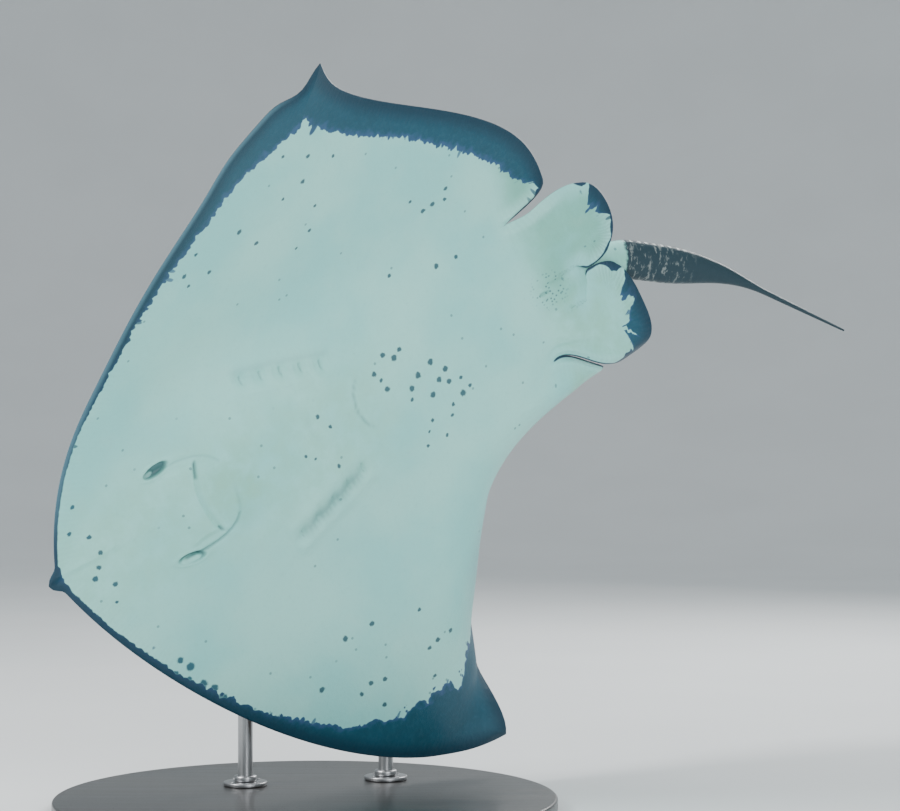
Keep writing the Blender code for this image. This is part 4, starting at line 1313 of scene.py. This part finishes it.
# %% The tail
def tail_finish(f, underside):
    """The dark tail, streaked, with a row of pale dots along each side."""
    on_tail = f.step(f.tail + (f.small - 0.5) * 0.020, 0.140, 0.150)
    streak = f.noise(f.node("CombineXYZ", None, {0: f.x * 0.6, 1: f.s}), 75.0, 3.0, 0.7)
    fade = f.step(f.tail, 0.36, 0.26)
    dots = f.step(f.sum("SINE", f.tail * 300.0 + f.small * 6.0, 0.0), 0.15, 0.65)
    mottled = f.mix(f.step(streak, 0.53, 0.66) * fade * 0.50, TAIL_DARK, TAIL_PALE)
    left = ((0.0110, 0.0060), (-0.010, -0.016), 0.80)
    right = ((0.0060, 0.0030), (0.010, 0.016), 0.45)
    for near_edge, beyond, strength in (left, right):
        row = f.step(f.edge, *near_edge) * f.step(f.x, *beyond) * dots
        mottled = f.mix(row * fade * strength, mottled, TAIL_DOT)
    return f.mix(on_tail, underside, mottled)


# %% The whole skin
def skin_finish():
    f = Finish("ray skin", Coat_Weight=0.05, Coat_Roughness=0.30, Specular_IOR_Level=0.40)
    read_notes(f)
    pale, rays = belly_finish(f)
    dark, slate = border_finish(f)
    underside = f.mix(dark, pale, slate)
    ink = f.mix(f.step(f.edge, 0.100, 0.070), SPOT_COLOUR, SLATE)
    underside = f.mix(spot_finish(f) * (1.0 - dark) * 0.93, underside, ink)
    # painted shade in the belly's hollows, broken up by noise round the vent
    ragged_shade = f.hollow * (1.0 - f.step(f.small, 0.62, 0.40) * f.step(f.s, 1.20, 1.24) * 0.75)
    underside = tail_finish(f, f.mix(ragged_shade, underside, HOLLOW_SHADE_COLOUR))
    shade, denticles = back_finish(f)
    on_back = f.step(f.up, *ON_BACK)
    f.into("Base Color", f.mix(on_back, underside, shade))
    f.into("Roughness", 0.46 + f.small * 0.18)
    f.bump(f.fine * 0.35 + f.small * 0.60 + rays + denticles * 0.70 * on_back, 0.0014)
    return f.material


skin.data.materials.clear()
skin.data.materials.append(skin_finish())
FLESH = ("head", "trunk", "wing_left", "wing_right", "pelvic_fin_left", "pelvic_fin_right",
         "tail_base", "tail_middle", "tail_tip")
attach(skin, "root")
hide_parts(*FLESH)
print("nodes of the skin's finish:", len(skin.data.materials[0].node_tree.nodes))


# %% [markdown]
# ## The eyes
# The eyes are tiny for so large an animal and look out sideways from two low bulges on
# the back. Each is a ball with a golden iris round a dark pupil that is wider than it is
# tall, under a clear cornea.
# %% Eye balls
EYE_LOOK = math.radians(52)          # from straight up towards the side
IRIS, PUPIL = 0.86, 0.50             # radians from the middle of the gaze
CORNEA_LIFT = 0.0007


def eye_centre(side):
    x, s = np.array([side * EYE_PLACE[0]]), np.array([EYE_PLACE[1]])
    gap = margin_distance(x, s, DISC_MARGIN)
    return pose_disc(x, s, back_height(x, s, soft_gap(x, s, gap)) - EYE_SINK)[0]


def eye_finish():
    f = Finish("eye", Coat_Weight=1.0, Coat_Roughness=0.03, Specular_IOR_Level=0.6)
    gaze = f.attribute("gaze")
    streak = f.noise(f.attribute("ball", out="Vector"), 260.0, 3.0, 0.7)
    iris = f.mix(f.step(streak, 0.35, 0.65), (0.120, 0.075, 0.025), (0.420, 0.300, 0.110))
    ring = f.mix(f.step(gaze, IRIS - 0.12, IRIS), iris, (0.020, 0.018, 0.018))
    white = f.mix(f.step(streak, 0.40, 0.60), (0.030, 0.026, 0.024), (0.062, 0.052, 0.044))
    ball = f.mix(f.step(gaze, IRIS, IRIS + 0.06), ring, white)
    pupil = f.step(f.attribute("pupil"), 1.06, 0.98)
    f.into("Base Color", f.mix(pupil, ball, (0.003, 0.003, 0.004)))
    f.into("Roughness", 0.12 + f.step(gaze, IRIS, IRIS + 0.2) * 0.25)
    return f.material


def eye_ball(name, side, material):
    ball = add(name + "_ball", bpy.ops.mesh.primitive_uv_sphere_add,
               segments=48, ring_count=28, radius=EYE_RADIUS)
    local = points_of(ball) / EYE_RADIUS
    look = np.arccos(np.clip(local[:, 2], -1, 1))
    swell = 1.0 + CORNEA_LIFT / EYE_RADIUS * (1.0 - smooth(look / IRIS))
    oval = np.hypot(local[:, 1] / math.sin(PUPIL), local[:, 0] / math.sin(PUPIL * 0.62))
    lean_out = np.array(Matrix.Rotation(side * EYE_LOOK, 3, "Y"))
    body = (local * swell[:, None] * EYE_RADIUS) @ lean_out.T + eye_centre(side)
    set_points(ball, body)
    note(ball, "gaze", look)
    note(ball, "pupil", np.where(local[:, 2] > 0, oval, 9.0))
    note(ball, "ball", local * EYE_RADIUS, "FLOAT_VECTOR")
    ball.data.materials.append(material)
    bpy.ops.object.shade_smooth()
    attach(ball, "root")
    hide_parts(name)
    return ball


eye_material = eye_finish()
for name, side in (("left", -1), ("right", 1)):
    made = eye_ball("eye_" + name, side, eye_material)
    print(made.name, "radius", EYE_RADIUS)

# %% [markdown]
# ## The sting
# On top of the tail lies the sting, a flat spine of hard ivory with teeth along both
# edges that point back to the body and a shallow groove down its middle.
# %% Sting
STING_START, STING_LENGTH, STING_HALF, STING_THICK = 0.300, 0.150, 0.0055, 0.0042
STING_SUNK = 0.0075                  # its root lies under the skin
TEETH, TOOTH_STEPS, TOOTH_DEEP = 22, 4, 0.26
STING_ACROSS = np.array([-1.0, -0.72, -0.25, 0.0, 0.25, 0.72, 1.0])
STING_CROWN = np.array([0.10, 0.70, 0.95, 0.80, 0.95, 0.70, 0.10])   # height across its width


def sting_finish():
    f = Finish("sting ivory", Coat_Weight=0.2, Coat_Roughness=0.2)
    at = f.attribute("plan", out="Vector")
    streak = f.noise(f.vectors("MULTIPLY", at, (900.0, 60.0, 1.0)), 1.0, 3.0)
    ivory = f.mix(f.step(streak, 0.35, 0.70), (0.640, 0.540, 0.370), (0.330, 0.250, 0.150))
    f.into("Base Color", ivory)
    f.into("Roughness", 0.32 + streak * 0.2)
    f.bump(streak, 0.0002)
    return f.material


def make_sting():
    steps = TEETH * TOOTH_STEPS
    part = np.linspace(0.0, 1.0, steps + 1)
    width = STING_HALF * np.sqrt(np.clip(1.0 - part, 0.003, 1.0))
    saw = (np.arange(steps + 1) % TOOTH_STEPS) / TOOTH_STEPS
    width = width * (1.0 - TOOTH_DEEP * (1.0 - saw) * smooth(part / 0.12))
    half = width[:, None] * STING_ACROSS
    q = STING_START + part[:, None] * STING_LENGTH + 0.0 * half
    lift = tail_half(STING_START, TAIL_FLAT_THICK) + 0.0008
    lift = lift - STING_SUNK * (1.0 - smooth(part / 0.13))[:, None]
    deep = STING_THICK * (1.0 - 0.8 * part)[:, None]
    sheets = []
    for name, rise in (("sting_spine", deep * STING_CROWN), ("sting_under", 0.0 * half)):
        layer = sheet(name, half, q)
        set_points(layer, pose_tail(half, q, lift + rise).reshape(-1, 3))
        note(layer, "plan", np.stack([half, q, 0.0 * q], -1), "FLOAT_VECTOR")
        sheets.append(layer)
    spine, under = sheets
    pick(under, spine)
    bpy.ops.object.join()
    enter_on_open_border(spine)
    bpy.ops.mesh.bridge_edge_loops(type="SINGLE")
    bpy.ops.mesh.select_all(action="SELECT")
    bpy.ops.mesh.normals_make_consistent(inside=False)
    bpy.ops.object.mode_set(mode="OBJECT")
    bpy.ops.object.shade_smooth_by_angle(angle=math.radians(40))
    spine.data.materials.append(sting_finish())
    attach(spine, "root")
    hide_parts("sting")
    return spine


sting = make_sting()
print("sting faces:", len(sting.data.polygons))

# %% [markdown]
# ## The stand
# A round base of black lacquered wood and two bent steel rods hold the animal. Each rod
# leaves the base through a turned flange with four screws, and ends in a small cup at
# the back.
# %% Stand
BASE_RADIUS, BASE_THICK, BASE_EDGE = 0.560, 0.030, 0.006
ROD_RADIUS, ROD_BEND, ROD_REACH, ROD_GAP = 0.017, 0.120, 0.200, 0.0012
ROD_FEET_S = (0.640, 0.980)
GAP = 0.0006
ROD_BEND_STEPS = 24
#   radius, height and rounded edge of the turned parts
FLANGE, RING, CUP = (0.050, 0.009, 0.002), (0.026, 0.014, 0.004), (0.030, 0.008, 0.0025)
SCREW, SCREWS, SCREW_CIRCLE, SCREW_FOOT = (0.0045, 0.0022, 0.0008), 4, 0.038, 0.0085
UP = Vector((0.0, 0.0, 1.0))


def wood_finish():
    f = Finish("black lacquer", Coat_Weight=0.35, Coat_Roughness=0.22)
    at = f.node("TexCoord", out=3)
    grain = f.noise(f.vectors("MULTIPLY", at, (3.0, 46.0, 8.0)), 1.0, 5.0, 0.6)
    dust = f.noise(at, 240.0, 2.0)
    black = f.mix(f.step(grain, 0.38, 0.68), (0.010, 0.010, 0.011), (0.026, 0.023, 0.021))
    f.into("Base Color", black)
    f.into("Roughness", 0.30 + grain * 0.15 + f.step(dust, 0.62, 0.75) * 0.12)
    f.bump(grain, 0.0003)
    return f.material


def steel_finish():
    f = Finish("satin steel", Metallic=1.0)
    at = f.node("TexCoord", out=3)
    brushed = f.noise(f.vectors("MULTIPLY", at, (700.0, 700.0, 12.0)), 1.0, 3.0)
    steel = f.mix(f.step(brushed, 0.3, 0.7), (0.300, 0.305, 0.315), (0.400, 0.405, 0.415))
    f.into("Base Color", steel)
    f.into("Roughness", 0.26 + brushed * 0.14)
    f.bump(brushed, 0.00008)
    return f.material


def stand_piece(thing, material, slot, *nodes):
    thing.data.materials.clear()
    thing.data.materials.append(material)
    pick(thing)
    bpy.ops.object.transform_apply(location=True, rotation=True, scale=True)
    bpy.ops.object.shade_smooth_by_angle(angle=math.radians(35))
    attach(thing, "root")
    if nodes:
        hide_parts(*nodes)


def cylinder(name, sides, radius, high):
    """An upright cylinder that stands at height zero."""
    return add(name, bpy.ops.mesh.primitive_cylinder_add, vertices=sides, radius=radius,
               depth=high, location=(0.0, 0.0, high / 2))


def make_base(material):
    base = cylinder("stand_base_board", 192, BASE_RADIUS, BASE_THICK)
    round_edges(BASE_EDGE, 5)
    stand_piece(base, material, "stand_wood", "stand_base")


def rod_ends(s_foot):
    """Where a rod meets the back, and the back's normal there."""
    x, s = np.array([0.0]), np.array([s_foot])
    gap = margin_distance(x, s, DISC_MARGIN)
    on_back = Vector(pose_disc(x, s, back_height(x, s, gap) + ROD_GAP)[0])
    step = 0.02
    slope = (back_height(x, s + step, gap) - back_height(x, s - step, gap))[0] / (2 * step)
    foot = Vector((*BODY_PLACE, BODY_HEIGHT)) + BODY_TURN @ on_back
    return foot, (BODY_TURN @ Vector((0.0, slope, 1.0))).normalized()


def rod_path(foot, normal):
    """From the base straight up, round one bend and along to the back."""
    flat = Vector((normal.x, normal.y, 0.0)).normalized()
    corner = foot + normal * ROD_REACH
    turn = math.acos(-normal.z)
    rise = corner - Vector((0.0, 0.0, ROD_BEND * math.tan(0.5 * turn)))
    centre = rise - flat * ROD_BEND
    path = [Vector((corner.x, corner.y, BASE_THICK + GAP)), rise]
    for k in range(1, ROD_BEND_STEPS + 1):
        angle = turn * k / ROD_BEND_STEPS
        spoke = flat * math.cos(angle) + Vector((0.0, 0.0, math.sin(angle)))
        path.append(centre + spoke * ROD_BEND)
    path.append(foot)
    return path


def tube(name, path, radius):
    line = add(name, bpy.ops.curve.primitive_nurbs_path_add)
    line.data.splines.clear()
    spline = line.data.splines.new("POLY")
    spline.points.add(len(path) - 1)
    for point, place in zip(spline.points, path):
        point.co = (*place, 1.0)
    line.data.bevel_depth = radius
    line.data.bevel_resolution = 10
    line.data.use_fill_caps = True
    line.location = (0.0, 0.0, 0.0)
    bpy.ops.object.convert(target="MESH")
    return bpy.context.object


def turned(name, place, axis, form):
    """A turned disc with a rounded edge, standing on a place along an axis."""
    radius, high, rounding = form
    disc = cylinder(name, 64, radius, high)
    round_edges(rounding, 3)
    bpy.ops.object.transform_apply(location=True, rotation=True, scale=True)
    turn = axis.to_track_quat("Z", "Y").to_matrix().to_4x4()
    disc.data.transform(Matrix.Translation(place) @ turn)
    return disc


def fittings(name, base_point, foot, normal):
    """Names, places, axes and forms of the turned parts of one rod."""
    parts = [("flange_" + name, base_point, UP, FLANGE),
             ("ring_" + name, base_point + UP * FLANGE[1], UP, RING),
             ("cup_" + name, foot, normal, CUP)]
    for k in range(SCREWS):
        angle = math.radians(45 + 360 / SCREWS * k)
        out = Vector((SCREW_CIRCLE * math.cos(angle), SCREW_CIRCLE * math.sin(angle), SCREW_FOOT))
        parts.append(("screw_%s_%d" % (name, k), base_point + out, UP, SCREW))
    return parts


wood, steel = wood_finish(), steel_finish()
make_base(wood)
for name, s_foot in zip(("front", "rear"), ROD_FEET_S):
    foot, normal = rod_ends(s_foot)
    path = rod_path(foot, normal)
    rod = tube("stand_rod_" + name + "_tube", path, ROD_RADIUS)
    stand_piece(rod, steel, "stand_steel", "stand_rod_" + name)
    for part_name, place, axis, form in fittings(name, path[0], foot, normal):
        stand_piece(turned("stand_" + part_name, place, axis, form), steel, "stand_steel")
    print("rod", name, "from", [round(v, 3) for v in path[0]], "to", [round(v, 3) for v in foot])

# %% [markdown]
# ## The room
# A pale round floor, whose edge sweeps up into a pale wall all the way round, so that
# there is no corner to catch a shadow and the model can be seen from every side. It is a
# wide open drum with one very large bevel.
# %% Floor
ROOM_RADIUS, ROOM_HIGH, ROOM_CURVE = 16.0, 12.0, 8.0


def room_finish():
    f = Finish("pale floor", Roughness=0.85)
    at = f.node("TexCoord", out=3)
    cloud = f.noise(at, 1.3, 3.0)
    pale = f.mix(f.step(cloud, 0.3, 0.7), (0.590, 0.610, 0.620), (0.610, 0.630, 0.640))
    f.into("Base Color", pale)
    return f.material


floor = cylinder("floor", 160, ROOM_RADIUS, ROOM_HIGH)
bpy.ops.object.transform_apply(location=True, rotation=True, scale=True)
pick_faces(floor, [face.center.z > ROOM_HIGH - 0.01 for face in floor.data.polygons])
edit(floor, bpy.ops.mesh.delete, type="FACE")
edit(floor, bpy.ops.mesh.select_all, action="SELECT")
edit(floor, bpy.ops.mesh.flip_normals)
round_edges(ROOM_CURVE, 24)
floor.data.materials.append(room_finish())
bpy.ops.object.shade_smooth_by_angle(angle=math.radians(20))
print("floor faces:", len(floor.data.polygons))

# %% [markdown]
# ## Light and camera
# A large soft lamp stands high on the left, where the daylight falls from in the water. A
# weaker one fills from the right, and a third from behind draws the edge of the wing.
# %% Lamps
def soft_lamp(name, place, target, size, power, colour):
    lamp = bpy.data.lights.new(name, "AREA")
    lamp.shape, lamp.size, lamp.energy, lamp.color = "DISK", size, power, colour
    holder = bpy.data.objects.new(name, lamp)
    bpy.context.scene.collection.objects.link(holder)
    holder.location = place
    holder.rotation_euler = (Vector(target) - Vector(place)).to_track_quat("-Z", "Y").to_euler()


BODY_MIDDLE = (0.10, -0.10, 0.85)
soft_lamp("key", (-4.2, -2.2, 4.0), BODY_MIDDLE, 2.0, 520.0, (1.0, 0.995, 0.98))
soft_lamp("fill", (2.6, -5.2, 2.2), BODY_MIDDLE, 3.0, 190.0, (0.95, 0.98, 1.0))
soft_lamp("back", (2.6, 4.2, 3.6), BODY_MIDDLE, 2.4, 260.0, (1.0, 0.995, 0.98))
world = bpy.data.worlds.new("soft room")
world.use_nodes = True
world.node_tree.nodes["Background"].inputs["Color"].default_value = (0.86, 0.93, 0.96, 1.0)
world.node_tree.nodes["Background"].inputs["Strength"].default_value = 0.90
bpy.context.scene.world = world

# %% Camera
CAMERA_PLACE, CAMERA_LENS = (0.32, -5.61, 0.898), 100.85
view = bpy.data.cameras.new("camera")
view.lens, view.sensor_width = CAMERA_LENS, 36.0
camera = bpy.data.objects.new("camera", view)
bpy.context.scene.collection.objects.link(camera)
camera.location = CAMERA_PLACE
camera.rotation_euler = (math.radians(90), 0.0, 0.0)
bpy.context.scene.camera = camera
